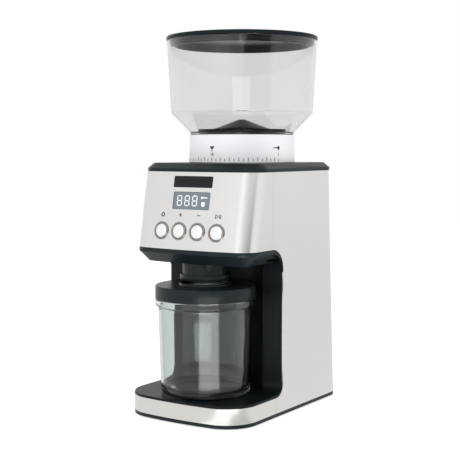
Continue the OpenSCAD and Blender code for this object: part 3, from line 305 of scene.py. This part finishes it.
def make_grain():
    """Moulded grain. Height is 0.7 fine + 0.3 coarse noise, the gloss change is (coarse + slow) / 2 - 0.5,
    and the shade is 1 + (slow - 0.5) times the material's Shade."""
    inputs = [("Position", "V", None), ("Grain Size", "F", 1400.0), ("Shade", "F", 0.08)]
    tree, start, end = group("moulded grain", inputs, EFFECT_OUTPUTS)
    position = start.outputs["Position"]
    fine = tree.nodes.new("ShaderNodeTexNoise")
    fine.inputs["Detail"].default_value = 3.0
    tree.links.new(position, fine.inputs["Vector"])
    tree.links.new(start.outputs["Grain Size"], fine.inputs["Scale"])
    coarse = noise(tree, position, 240.0, 3.0, 0.6)
    slow = noise(tree, position, 14.0, 3.0, 0.55)
    tree.links.new(weighted(tree, (fine.outputs["Fac"], 0.7), (coarse, 0.3)), end.inputs["Height"])
    both = math_node(tree, "MULTIPLY", math_node(tree, "ADD", coarse, slow), 0.5)
    tree.links.new(math_node(tree, "SUBTRACT", both, 0.5), end.inputs["Gloss Change"])
    swing = math_node(tree, "MULTIPLY", math_node(tree, "SUBTRACT", slow, 0.5), start.outputs["Shade"])
    tree.links.new(math_node(tree, "ADD", 1.0, swing), end.inputs["Shade Factor"])
    return tree


def make_brush():
    """Brushed sheet. Hair, line and band are noise with long level runs in three widths, and cloud is even.
    Height is 0.6 hair + 0.4 line, the gloss change is 0.6 line + 0.4 band - 0.5, and the shade is
    0.93 + 0.13 (line / 2 + band / 4 + cloud / 4)."""
    tree, start, end = group("brushed sheet", [("Position", "V", None)], EFFECT_OUTPUTS)
    position = start.outputs["Position"]
    hair = noise(tree, position, 1.0, 2.0, 0.6, (22.0, 22.0, 7000.0))
    line = noise(tree, position, 1.0, 3.0, 0.6, (12.0, 12.0, 2600.0))
    band = noise(tree, position, 1.0, 2.0, 0.5, (5.0, 5.0, 420.0))
    cloud = noise(tree, position, 9.0, 3.0, 0.5)
    tree.links.new(weighted(tree, (hair, 0.6), (line, 0.4)), end.inputs["Height"])
    change = math_node(tree, "SUBTRACT", weighted(tree, (line, 0.6), (band, 0.4)), 0.5)
    tree.links.new(change, end.inputs["Gloss Change"])
    swing = math_node(tree, "MULTIPLY", weighted(tree, (line, 0.5), (band, 0.25), (cloud, 0.25)), 0.13)
    tree.links.new(math_node(tree, "ADD", 0.93, swing), end.inputs["Shade Factor"])
    return tree


GRAIN, BRUSH = make_grain(), make_brush()


# ---------- finishes ----------

def finish(name, colour, rough, effect=GRAIN, rough_range=0.2, bump=0.05, bump_depth=3e-5, shade=None,
           **sockets):
    """A Principled material on one of the shared effects, read at the Object position. Its colour is colour
    times the shade factor, its roughness is rough + rough_range times the gloss change, and its bump is the
    height. Other sockets of the shader are given by name, with _ for a space."""
    made = bpy.data.materials.new(name)
    made.use_nodes = True
    tree = made.node_tree
    shader = tree.nodes["Principled BSDF"]
    for label, value in sockets.items():
        shader.inputs[label.replace("_", " ")].default_value = value
    place = tree.nodes.new("ShaderNodeTexCoord")
    pattern = tree.nodes.new("ShaderNodeGroup")
    pattern.node_tree = effect
    tree.links.new(place.outputs["Object"], pattern.inputs["Position"])
    if shade is not None:
        pattern.inputs["Shade"].default_value = shade
    tint = tree.nodes.new("ShaderNodeMix")
    tint.data_type = "RGBA"
    tint.blend_type = "MULTIPLY"
    tint.inputs["Factor"].default_value = 1.0
    tint.inputs["A"].default_value = (*colour, 1)
    tree.links.new(pattern.outputs["Shade Factor"], tint.inputs["B"])
    tree.links.new(tint.outputs["Result"], shader.inputs["Base Color"])
    change = math_node(tree, "MULTIPLY", pattern.outputs["Gloss Change"], rough_range)
    tree.links.new(math_node(tree, "ADD", change, rough, True), shader.inputs["Roughness"])
    if bump:
        lump = tree.nodes.new("ShaderNodeBump")
        lump.inputs["Strength"].default_value = bump
        lump.inputs["Distance"].default_value = bump_depth
        tree.links.new(pattern.outputs["Height"], lump.inputs["Height"])
        tree.links.new(lump.outputs["Normal"], shader.inputs["Normal"])
    return made


brushed = dict(effect=BRUSH, rough_range=0.16, bump=0.16, bump_depth=1e-5, Metallic=1.0, Anisotropic=0.5)
steel = finish("brushed steel", (0.80, 0.795, 0.785), 0.22, **brushed)
band_steel = finish("brushed base steel", (0.80, 0.785, 0.75), 0.2, **brushed)

satin = dict(rough_range=0.12, bump=0.08, shade=0.25, Specular_IOR_Level=0.2)
black = finish("satin black moulding", (0.009, 0.0145, 0.0165), 0.3, **satin)
# The same satin black moulding at under half its colour: the real black, darkened further as painted shade for
# the deck under the head and the recessed jar bay.
shaded_black = finish("black moulding darkened as painted shade", (0.004, 0.0065, 0.0075), 0.38, **satin)
black_gloss = finish("polished black moulding", (0.009, 0.013, 0.015), 0.25, rough_range=0.08, bump=0.04,
                     shade=0.2, Specular_IOR_Level=0.08)
dark_seal = finish("dark silicone", (0.012, 0.018, 0.02), 0.5, rough_range=0.12, bump=0.1, shade=0.2,
                   Specular_IOR_Level=0.1)
rubber = finish("rubber", (0.02, 0.02, 0.021), 0.75, bump=0.3, shade=0.3)
inner_black = finish("inner moulding", (0.03, 0.03, 0.032), 0.5, bump=0.2, shade=0.3)
ring_white = finish("white moulding", (0.86, 0.87, 0.90), 0.3, rough_range=0.12, shade=0.03,
                    Coat_Weight=0.2, Coat_Roughness=0.15)

print_grey = finish("grey print", (0.115, 0.12, 0.13), 0.5, rough_range=0.1, shade=0.3)
print_dark = finish("dark print", (0.03, 0.032, 0.035), 0.5, rough_range=0.1, shade=0.3)
chrome = finish("polished trim", (0.33, 0.30, 0.27), 0.2, rough_range=0.12, bump=0.03, shade=0.1,
                Metallic=1.0)
cap_silver = finish("pearl silver caps", (0.88, 0.88, 0.875), 0.3, rough_range=0.1, bump=0.06, shade=0.04,
                    Metallic=0.6, Coat_Weight=0.3, Coat_Roughness=0.1)
lcd = finish("display face", (0.145, 0.187, 0.21), 0.2, rough_range=0.08, bump=0.02, shade=0.12,
             Coat_Weight=0.6, Coat_Roughness=0.05)
segment = finish("display segments", (0.85, 0.87, 0.88), 0.4, rough_range=0.1, bump=0.0, shade=0.05)
plate_black = finish("nameplate enamel", (0.008, 0.008, 0.01), 0.25, rough_range=0.1, bump=0.03, shade=0.2,
                     Specular_IOR_Level=0.25)

machined = finish("machined steel", (0.62, 0.62, 0.63), 0.3, rough_range=0.25, bump=0.15, shade=0.15,
                  Metallic=1.0)
burr_finish = finish("ground burr steel", (0.55, 0.55, 0.56), 0.38, rough_range=0.3, bump=0.2, shade=0.2,
                     Metallic=1.0)
cast_metal = finish("cast metal", (0.42, 0.42, 0.43), 0.5, rough_range=0.3, bump=0.5, shade=0.2,
                    Metallic=1.0)
brass = finish("brass", (0.72, 0.55, 0.28), 0.3, bump=0.1, shade=0.1, Metallic=1.0)
gear_nylon = finish("gear nylon", (0.72, 0.69, 0.6), 0.45, bump=0.1, shade=0.1)
board = finish("board lacquer", (0.02, 0.13, 0.05), 0.35, bump=0.1, shade=0.4)
parts_dark = finish("electric parts", (0.06, 0.06, 0.07), 0.45, bump=0.1, shade=0.3)
magnet_grey = finish("ferrite", (0.08, 0.08, 0.085), 0.6, bump=0.3, shade=0.3)

clear = dict(bump=0.0, shade=0.03, Transmission_Weight=1.0, IOR=1.45)
hopper_clear = finish("clear hopper", (0.88, 0.885, 0.88), 0.04, rough_range=0.04, **clear)
jar_clear = finish("clear jar", (0.82, 0.875, 0.86), 0.03, rough_range=0.03, **clear)


# ---------- camera ----------

def place_camera():
    """The camera stands 1.12 m off the frame's upright axis and 0.27 m high, 34 degrees to the right of the
    front. It looks along (-sin heading cos tilt, cos heading cos tilt, -sin tilt)."""
    heading, tilt = math.radians(33.86), math.radians(4.49)
    data = bpy.data.cameras.new("camera")
    data.sensor_width, data.lens = 36.0, 82.8
    data.clip_start, data.clip_end = 0.05, 30.0
    camera = bpy.data.objects.new("camera", data)
    camera.location = (0.6203, -0.9323, 0.2743)
    level = math.cos(tilt)
    ahead = Vector((-math.sin(heading) * level, math.cos(heading) * level, -math.sin(tilt)))
    camera.rotation_mode = "QUATERNION"
    camera.rotation_quaternion = ahead.to_track_quat("-Z", "Y")
    scene.collection.objects.link(camera)
    scene.camera = camera


place_camera()


# ---------- hopper ----------

def make_hopper():
    """The clear body: a socket that stands in the ring, a shallow cone, and an upright wall to the lid.
    The cone's inner face lies hopper_wall from its outer one, measured square to the slope."""
    low, foot_height, floor_height, seat_depth = hopper_low[2], 1.8, 3.4, 1.0
    foot_r, socket_r, bore_r, seat_r = ring_top_r - 0.4, ring_top_r - 2.6, ring_top_r - 5.0, disc_r + 0.1
    foot_z, floor_z, seat_z = hopper_z + foot_height, hopper_z + floor_height, hopper_z - seat_depth
    slope = (waist_r - foot_r) / (waist_z - foot_z)
    cone_r = foot_r + slope * (floor_z - foot_z) - hopper_wall * math.hypot(1, slope)
    profile = rounded([
        (bore_r, low), (socket_r, low), (socket_r, hopper_z), (foot_r, hopper_z),
        (foot_r, foot_z), (waist_r, waist_z), (hopper_top_r, hopper_top_z),
        (hopper_top_r - hopper_wall, hopper_top_z), (waist_r - hopper_wall, waist_z + 0.8),
        (cone_r, floor_z), (seat_r, floor_z), (seat_r, seat_z), (bore_r, seat_z),
    ], [0.3, 0.5, 0.3, 0.5, 0.9, 3.2, 0.8, 0.6, 2.2, 1.2, 0.4, 0.3, 0.3])
    piece("hopper_shell", "hopper", hopper_clear, turned(profile, axis_y), ["hopper"])


make_hopper()


def make_lid():
    """The lid: a disc with a soft edge, a shallow tray in its top and a skirt that carries the seal."""
    skirt_r, skirt_wall, skirt_depth = hopper_top_r - hopper_wall - 5.6, 2, 6.6
    rim, rim_slope, tray_depth, lid_gap = 6.6, 1.2, 1.2, 0.1
    low, top = hopper_top_z + lid_gap, lid_z
    profile = rounded([
        (0, low), (skirt_r - skirt_wall, low), (skirt_r - skirt_wall, low - skirt_depth),
        (skirt_r, low - skirt_depth), (skirt_r, low), (lid_r, low), (lid_r, top), (lid_r - rim, top),
        (lid_r - rim - rim_slope, top - tray_depth), (0, top - tray_depth),
    ], [0, 0.3, 0.4, 0.4, 0.3, 0.8, 1.3, 0.7, 0.8, 0])
    piece("lid_cap", "hopper_lid", black_gloss, turned(profile, axis_y), ["hopper_lid"])


make_lid()


def make_ring():
    """The setting ring: a slightly tapered wall, a web inside it and a hub with the thread."""
    wall, web_height, web = 2.2, 3.6, 3
    z0, z1, hub_z = ring_bottom, ring_top, ring_low[2]
    bore, hub_r, thread_r = ring_top_r - wall, 37.0, 33.4
    web_z = z0 + web_height
    profile = rounded([
        (bore, z0), (ring_r, z0), (ring_top_r, z1), (bore, z1), (bore, web_z + web),
        (thread_r, web_z + web), (thread_r, hub_z), (hub_r, hub_z), (hub_r, web_z), (bore, web_z),
    ], [0.3, 0.5, 0.7, 0.4, 0.5, 0.3, 0.2, 0.2, 0.3, 0.3])
    shape = turned(profile, axis_y)
    piece("scale_ring", "setting_ring", ring_white, shape, ["setting_ring"])


make_ring()


# ---------- printed marks ----------

def on_ring(flat, lift):
    """Wraps (distance round from the front in mm, height) on to the ring's outside, lifted off it by lift:
    angle = distance / radius, measured from the front towards +X."""
    s, z = flat[..., 0], flat[..., 1]
    share = (z - ring_bottom) / (ring_top - ring_bottom)
    r = ring_r + (ring_top_r - ring_r) * share + lift
    a = s / ring_r
    return np.stack([r * np.sin(a), axis_y - r * np.cos(a), z], -1)


def prints(shapes, place, lift, depth=0.25):
    """Printed marks as thin closed plates: place puts each flat outline (k, 2) at lift and again depth under
    it, with the outline's middle as the pole of either face."""
    made = []
    for outline in shapes:
        centre = np.broadcast_to(outline.mean(0), outline.shape)
        flat = np.stack([centre, outline, outline, centre])
        points = np.concatenate([place(flat[:2], lift - depth), place(flat[2:], lift)])
        made.append((points.reshape(-1, 3), grid_faces(4, len(outline), False, True)))
    return gather(*made)


def bar(x, z, width, height):
    """An upright rectangle outline centred on x, z."""
    w, h = width / 2, height / 2
    return np.array([(x - w, z - h), (x + w, z - h), (x + w, z + h), (x - w, z + h)])


def stroke(points, width):
    """An open line of points as a row of four-sided outlines of even width: each point goes width / 2 to
    either side along the normal averaged from its two neighbours."""
    points = np.array(points, float)
    along = np.gradient(points, axis=0)
    normal = np.stack([-along[:, 1], along[:, 0]], -1) / np.linalg.norm(along, axis=1, keepdims=True)
    left, right = points + normal * width / 2, points - normal * width / 2
    return list(np.stack([right[:-1], right[1:], left[1:], left[:-1]], 1))


def make_scale():
    """Thirty-one marks, five degrees apart, every second one longer, and two settings' figures and signs."""
    step, last, lift = math.radians(5) * ring_r, 15, 0.05
    long_mark, short_mark, mark_width = 3.8, 2.4, 0.7
    foot, digit_z, sign_z = ring_bottom + 1.6, ring_bottom + 8.6, ring_bottom + 15.2

    marks = []
    for k in range(-last, last + 1):
        height = long_mark if k % 2 == 0 else short_mark
        marks.append(bar(k * step, foot + height / 2, mark_width, height))
    six = [(0.75, 1.35), (0.3, 1.5), (-0.35, 1.3), (-0.75, 0.5), (-0.8, -0.5), (-0.55, -1.2), (0, -1.5),
           (0.6, -1.2), (0.8, -0.6), (0.6, 0.0), (0.1, 0.25), (-0.4, 0.05), (-0.72, -0.45)]
    one = [(-0.55, 0.85), (0.0, 1.5), (0.0, -1.5)]
    for figure, x, width in ((one, -1.2, 0.62), (six, 1.1, 0.6), (one, last * step, 0.62)):
        marks += stroke(np.array(figure) + (x, digit_z), width)
    piece("scale_marks", "setting_ring", print_grey, prints(marks, on_ring, lift))

    scoop_x = last * step
    funnel = np.array([(-2.8, 1.8), (2.8, 1.8), (1.3, -1.5), (-1.3, -1.5)]) + (0, sign_z)
    drop = circle(0.75, 12, (0, sign_z - 3.0))
    handle = bar(scoop_x - 3.6, sign_z, 5.6, 1.3)
    head = circle(1.8, 20, (scoop_x + 0.4, sign_z + 0.2))
    spout = bar(scoop_x + 0.4, sign_z - 1.9, 1.7, 1.3)
    signs = prints([funnel[::-1], drop, handle, head, spout], on_ring, lift)
    piece("scale_signs", "setting_ring", print_dark, signs)


make_scale()


# ---------- jar ----------

def make_jar():
    """The clear jar: a foot round a shallow hollow, a wall that widens to a shoulder, and a neck inside the
    jar lid."""
    low_r, high_r, neck_r, foot_r = jar_r - 5.6, jar_r - 3.1, jar_r - 2.6, jar_r - 10
    wall, floor, foot_rise, neck_height, lid_gap = 2.2, 4, 1.2, 9, 0.1
    foot, rim_z = deck_z, jar_rim_z - rim_height
    shoulder_z, neck_z, inner_r = jar_rim_z - lid_gap, jar_rim_z + neck_height, neck_r - wall
    profile = rounded([
        (0, foot + foot_rise), (foot_r - 6, foot + foot_rise), (foot_r - 5, foot), (low_r, foot),
        (high_r, rim_z - 1.5), (jar_r, rim_z), (jar_r, shoulder_z), (neck_r, shoulder_z), (neck_r, neck_z),
        (inner_r, neck_z), (inner_r, rim_z), (high_r - wall, rim_z - 4), (low_r - wall, foot + floor),
        (0, foot + floor),
    ], [0, 0.6, 0.8, 8, 1.2, 0.9, 0.9, 0.5, 0.9, 0.9, 2, 2, 8, 0], 8)
    piece("jar_glass", "jar", jar_clear, turned(profile, jar_y, 224), ["jar"])


make_jar()


# ---------- front panel ----------

def leant(x, y, up):
    """Leans (x, y behind the panel's foot, height) back by the head's angle about the panel's foot:
    y' = y cos + up sin, z' = up cos - y sin."""
    c, s = math.cos(head_angle), math.sin(head_angle)
    return np.stack([x, head_y + y * c + up * s, head_z - y * s + up * c], -1)


def on_panel(flat, lift):
    """Places (x, height up the panel) on the bowed, leaning panel, lifted off it by lift:
    the panel faces turn = arcsin(x / R) round, and the bow sets it back by R (1 - cos turn)."""
    x, up = flat[..., 0], flat[..., 1]
    turn = np.arcsin(x / panel_bow)
    return leant(x + lift * np.sin(turn), panel_bow * (1 - np.cos(turn)) - lift * np.cos(turn), up)


def on_button(i, local):
    """Places (x, y up, z out) of button i on the panel, turned to face as the panel does at its middle."""
    turn = math.asin(button_xs[i] / panel_bow)
    x = button_xs[i] + local[:, 0] * math.cos(turn) + local[:, 2] * math.sin(turn)
    y = panel_bow * (1 - math.cos(turn)) + local[:, 0] * math.sin(turn) - local[:, 2] * math.cos(turn)
    return leant(x, y, button_up + local[:, 1])


def slab_on_panel(shape, up):
    """Places a slab made round the origin on the panel, its middle at height up and its z as the lift."""
    points, faces = shape
    return on_panel(points[:, :2] + (0, up), points[:, 2]), faces


def make_trims():
    """The buttons' rings: a neck in the panel and a rolled rim on it, four alike in one piece."""
    profile = rounded([
        (7.3, -3.5), (8.5, -3.5), (8.5, 0.0), (9.2, 0.15), (9.2, 0.85), (8.4, 1.3), (7.5, 1.0), (7.3, 0.5),
    ], [0.2, 0.2, 0.05, 0.1, 0.4, 0.35, 0.2, 0.2], 4)
    points, faces = turned(profile, 0.0, 72)
    rings = [(on_button(i, points), faces) for i in range(4)]
    piece("button_trims", "housing", chrome, gather(*rings), ["button_bezels"])


def make_caps():
    """The button caps: a dome as high as top - R + sqrt(R^2 - r^2), a rounded edge and a flange behind."""
    cap_r, edge, top, crown, edge_drop, edge_depth = 7.0, 0.8, 1.9, 0.9, 0.12, 0.9
    flange_r, flange_z, back_z = 9.4, -3.9, -5.5
    r = np.linspace(0, cap_r - edge, 14)
    dome_r = (cap_r ** 2 + crown ** 2) / (2 * crown)
    dome = np.stack([r, top - dome_r + np.sqrt(dome_r ** 2 - r ** 2)], -1)
    t = np.linspace(0, math.pi / 2, 7)[1:]
    edge_z = dome[-1, 1] - edge_drop - edge * (1 - np.cos(t)) * edge_depth
    curve = np.stack([cap_r - edge + edge * np.sin(t), edge_z], -1)
    tail = np.array([(cap_r, flange_z), (flange_r, flange_z), (flange_r, back_z), (0, back_z)])
    points, faces = turned(np.concatenate([dome, curve, tail]), 0.0, 72)
    for i, use in enumerate(("mode", "plus", "minus", "start")):
        node = "button_" + use
        piece("cap_" + use, node, cap_silver, (on_button(i, points), faces), [node])


make_trims()
make_caps()


def seven_bars(x, z, width, height, thick, gap=0.5):
    """The seven bars of one figure, each a long hexagon: three level and four upright."""
    def lay(centre_x, centre_z, length, level):
        """One hexagon, its pointed ends length apart."""
        e, reach = thick / 2, length / 2
        inner = reach - e
        line = np.array([(-reach, 0), (-inner, -e), (inner, -e), (reach, 0), (inner, e), (-inner, e)])
        if not level:
            line = np.stack([-line[:, 1], line[:, 0]], -1)
        return line + (centre_x, centre_z)
    a, b = width / 2 - thick / 2, height / 2 - thick / 2
    shapes = [lay(x, z + k * b, 2 * a - gap, True) for k in (-1, 0, 1)]
    shapes += [lay(x + s * a, z + k * b / 2, b - gap, False) for s in (-1, 1) for k in (-1, 1)]
    return shapes


def make_window():
    """The display's window, a little smaller than its opening and just under the panel's face."""
    width, height, clearance = 45.2, 17.8, 0.3
    lens = slab(box_outline(width - clearance, height - clearance, 1.4), -3.7, -0.5, 0.3)
    shape = slab_on_panel(lens, window_up)
    piece("display_window", "housing", lcd, shape, ["display_lens"])


def make_nameplate():
    """The plain black plate above the display."""
    tag = slab(box_outline(47.3, 11.6, 0.9), -0.25, 0.5, 0.25)
    shape = slab_on_panel(tag, nameplate_up)
    piece("blank_nameplate", "housing", plate_black, shape, ["nameplate"])


def make_figures():
    """The display's lit figures: three eights, a bar with a dot, and a cup."""
    figures = []
    for x in (-14.6, -5.2, 4.2):
        figures += seven_bars(x, window_up, 6.4, 11.0, 1.15)
    mark_z, cup_z = window_up + 3.4, window_up - 3.2
    cup = rounded([(-2.2, 2.2), (-2.0, -1.4), (-0.8, -2.4), (0.8, -2.4), (2.0, -1.4), (2.2, 2.2)],
                  [0.6, 0.8, 0.6, 0.6, 0.8, 0.6], 3)
    figures += [bar(15.8, mark_z, 6.0, 1.1), circle(1.3, 16, (12.6, mark_z)), cup + (14.6, cup_z)]
    piece("display_figures", "housing", segment, prints(figures, on_panel, -0.46, 0.2))


def make_signs():
    """The buttons' printed signs: a gear wheel, a plus, a minus, and a triangle with two bars."""
    gear_x, plus_x, minus_x, play_x = button_xs
    gear_r, line = 1.55, 0.95
    a = np.linspace(0, 2 * math.pi, 49)
    signs = stroke(np.stack([gear_x + gear_r * np.cos(a), sign_up + gear_r * np.sin(a)], -1), line)
    for angle in np.arange(8) * math.pi / 4:
        away = np.array([math.cos(angle), math.sin(angle)])
        signs += stroke([(gear_x, sign_up) + away * 1.9, (gear_x, sign_up) + away * 2.6], 0.8)
    length, arm, arm_middle = 4.0, 1.5, 1.26
    signs += [bar(plus_x, sign_up, length, line)]
    signs += [bar(plus_x, sign_up + side * arm_middle, line, arm) for side in (1, -1)]
    signs += [bar(minus_x, sign_up, length, line)]
    play = np.array([(-2.8, -2.0), (-2.8, 2.0), (0.5, 0.0), (-2.8, -2.0)]) + (play_x, sign_up)
    for first, last in zip(play[:-1], play[1:]):
        signs += stroke([first, last], 0.7)
    signs += [bar(play_x + away, sign_up, 0.8, 4.2) for away in (1.7, 3.2)]
    piece("panel_signs", "housing", print_dark, prints(signs, on_panel, 0.05, 0.2))


make_window()
make_nameplate()
make_figures()
make_signs()


# ---------- CAD nodes that show as they are ----------

def finish_nodes():
    """Gives each CAD node that shows its finish, and the rounding of its edges in millimetres."""
    rows = [
        (steel, 0, ["front_shell", "rear_shell"]),
        (band_steel, 0, ["base_band"]),
        (black, 0.8, ["chin_cover", "top_cover"]),
        (black, 0.6, ["jar_lid"]),
        (black, 0.5, ["base_plate"]),
        (black, 0.4, ["hopper_base", "bean_guard", "outlet_chute"]),
        (black, 0.3, ["cord_gland"]),
        # The deck and the bay liner take the darker black, which is painted shade in the recess and under the
        # head.
        (shaded_black, 0.8, ["base_deck"]),
        (shaded_black, 0, ["bay_liner"]),
        (dark_seal, 0.3, ["lid_seal"]),
        (rubber, 0.3, ["rubber_feet"]),
        (inner_black, 0, ["panel_carrier", "burr_chamber", "burr_holder", "display_module"]),
        (parts_dark, 0, ["tact_switches", "power_parts"]),
        (board, 0, ["control_board", "power_board"]),
        (machined, 0, ["base_screws", "board_screws", "gear_case_screws", "motor_screws", "bracket_screws",
                       "burr_screws", "burr_shaft", "idler_pin", "burr_nut", "motor_can", "motor_shaft",
                       "motor_bracket"]),
        (burr_finish, 0, ["cone_burr", "ring_burr"]),
        (cast_metal, 0, ["gear_case", "gear_case_lid", "motor_end_bell"]),
        (gear_nylon, 0, ["output_gear", "idler_gear", "impeller"]),
        (brass, 0, ["shaft_bushes", "motor_pinion"]),
        (magnet_grey, 0, ["motor_magnets", "motor_armature"]),
    ]
    for material, edge, names in rows:
        for name in names:
            finish_node(name, material, edge)


finish_nodes()


# ---------- studio ----------

def window(tree, value, low, high, soft):
    """One between low and high and nought outside, with smooth ends soft wide."""
    ends = []
    for start, end in ((low - soft, low + soft), (high + soft, high - soft)):
        step = tree.nodes.new("ShaderNodeMapRange")
        step.interpolation_type = "SMOOTHSTEP"
        tree.links.new(value, step.inputs["Value"])
        for label, number in (("From Min", min(start, end)), ("From Max", max(start, end))):
            step.inputs[label].default_value = number
        for label, number in (("To Min", float(start > end)), ("To Max", float(start < end))):
            step.inputs[label].default_value = number
        ends.append(step.outputs["Result"])
    return math_node(tree, "MULTIPLY", *ends)


def degrees(tree, angle):
    """An angle in radians as degrees."""
    return math_node(tree, "MULTIPLY", angle, 180 / math.pi)


def seen_by(tree, ray, others, own, output):
    """Sends output the shader own for the named kind of ray, and the shader others for every other ray."""
    path = tree.nodes.new("ShaderNodeLightPath")
    mix = tree.nodes.new("ShaderNodeMixShader")
    tree.links.new(path.outputs[ray], mix.inputs[0])
    tree.links.new(others.outputs[0], mix.inputs[1])
    tree.links.new(own.outputs[0], mix.inputs[2])
    tree.links.new(mix.outputs[0], output.inputs["Surface"])


def make_room():
    """The room is plain white to the camera. To everything else it brightens and dims round the object as
    the stops say, in degrees from the front, and has a dark screen level with the object on the front right,
    so that the steel and the clear parts have something to show."""
    world = bpy.data.worlds.new("studio")
    scene.world = world
    world.use_nodes = True
    tree = world.node_tree
    tree.nodes.clear()
    output = tree.nodes.new("ShaderNodeOutputWorld")
    place = tree.nodes.new("ShaderNodeTexCoord")
    parts = tree.nodes.new("ShaderNodeSeparateXYZ")
    tree.links.new(place.outputs["Generated"], parts.inputs[0])
    front = math_node(tree, "MULTIPLY", parts.outputs["Y"], -1.0)
    turn = math_node(tree, "ARCTAN2", parts.outputs["X"], front)
    share = math_node(tree, "ADD", math_node(tree, "DIVIDE", turn, 2 * math.pi), 0.5)
    rise = math_node(tree, "ARCSINE", parts.outputs["Z"])

    ramp = tree.nodes.new("ShaderNodeValToRGB")
    stops = [(-180, 0.98), (-120, 0.95), (-60, 0.93), (-30, 1.01), (-18, 1.08), (-8, 1.26), (2, 1.3),
             (12, 1.18), (22, 0.97), (38, 0.86), (58, 0.88), (78, 1.0), (97, 1.04), (140, 0.99), (156, 0.88),
             (180, 0.96)]
    top, level, screen_depth = 2.0, 0.95, 0.8
    elements = ramp.color_ramp.elements
    while len(elements) < len(stops):
        elements.new(0.5)
    for element, (angle, value) in zip(elements, stops):
        element.position = angle / 360 + 0.5
        element.color = (value / top, value / top, value / top, 1)
    tree.links.new(share, ramp.inputs[0])

    across = window(tree, degrees(tree, turn), 34, 78, 3)
    upward = window(tree, degrees(tree, rise), -12, 9, 3)
    screen = math_node(tree, "MULTIPLY", math_node(tree, "MULTIPLY", across, upward), screen_depth)
    strength = math_node(tree, "MULTIPLY", math_node(tree, "SUBTRACT", 1.0, screen), top * level)
    room = tree.nodes.new("ShaderNodeBackground")
    tree.links.new(ramp.outputs[0], room.inputs["Color"])
    tree.links.new(strength, room.inputs["Strength"])
    plain = tree.nodes.new("ShaderNodeBackground")
    plain.inputs["Color"].default_value = (1, 1, 1, 1)
    plain.inputs["Strength"].default_value = 1.0
    seen_by(tree, "Is Camera Ray", room, plain, output)


def make_floor():
    """The floor is plain and pale. What mirrors it sees a glow instead, with a bright strip on the front
    right, and near the jar a lighter and a darker patch: windows in angle and distance from the jar's axis."""
    half, rows = 2.5, 9
    t = np.linspace(-half, half, rows)
    x, y = np.meshgrid(t, t, indexing="ij")
    mesh = bpy.data.meshes.new("floor")
    mesh.from_pydata(np.stack([x, y, 0 * x], -1).reshape(-1, 3), [], grid_faces(rows, rows).tolist())
    floor = bpy.data.objects.new("floor", mesh)
    scene.collection.objects.link(floor)
    made = bpy.data.materials.new("pale floor")
    made.use_nodes = True
    tree = made.node_tree
    shader = tree.nodes["Principled BSDF"]
    shader.inputs["Base Color"].default_value = (0.85, 0.85, 0.85, 1)
    shader.inputs["Roughness"].default_value = 0.9
    shader.inputs["Specular IOR Level"].default_value = 0.1
    shader.inputs["Emission Color"].default_value = (1, 1, 1, 1)
    shader.inputs["Emission Strength"].default_value = 0.5

    spot = tree.nodes.new("ShaderNodeTexCoord")
    parts = tree.nodes.new("ShaderNodeSeparateXYZ")
    tree.links.new(spot.outputs["Object"], parts.inputs[0])
    aside, ahead = parts.outputs["X"], math_node(tree, "SUBTRACT", jar_y * MM, parts.outputs["Y"])
    turn = degrees(tree, math_node(tree, "ARCTAN2", aside, ahead))
    aside_2, ahead_2 = math_node(tree, "POWER", aside, 2.0), math_node(tree, "POWER", ahead, 2.0)
    away = math_node(tree, "SQRT", math_node(tree, "ADD", aside_2, ahead_2))
    near_jar = window(tree, away, 0.0, 0.15, 0.01)
    strip = math_node(tree, "MULTIPLY", window(tree, turn, 20, 66, 3), window(tree, away, 0.16, 0.74, 0.015))
    lighter = math_node(tree, "MULTIPLY", window(tree, turn, 18, 50, 5), near_jar)
    darker = math_node(tree, "MULTIPLY", window(tree, turn, 56, 84, 6), near_jar)
    lit = math_node(tree, "SUBTRACT", weighted(tree, (strip, 3.5), (lighter, 0.4)),
                    math_node(tree, "MULTIPLY", darker, 0.2))
    glow = tree.nodes.new("ShaderNodeEmission")
    tree.links.new(math_node(tree, "ADD", lit, 0.84), glow.inputs["Strength"])
    seen_by(tree, "Is Glossy Ray", shader, glow, tree.nodes["Material Output"])
    mesh.materials.append(made)


def place_lamp():
    """A soft lamp behind and above the camera: it lifts the front of round things without showing in the
    steel."""
    data = bpy.data.lights.new("soft lamp", "AREA")
    data.shape, data.size, data.energy = "DISK", 1.2, 8.0
    lamp = bpy.data.objects.new("soft lamp", data)
    lamp.location = (1.1, -1.6, 0.9)
    lamp.rotation_mode = "QUATERNION"
    lamp.rotation_quaternion = (Vector((0, 0, 0.22)) - lamp.location).to_track_quat("-Z", "Y")
    lamp.visible_glossy = False
    scene.collection.objects.link(lamp)


make_room()
make_floor()
place_lamp()
scene.view_settings.view_transform = "Standard"
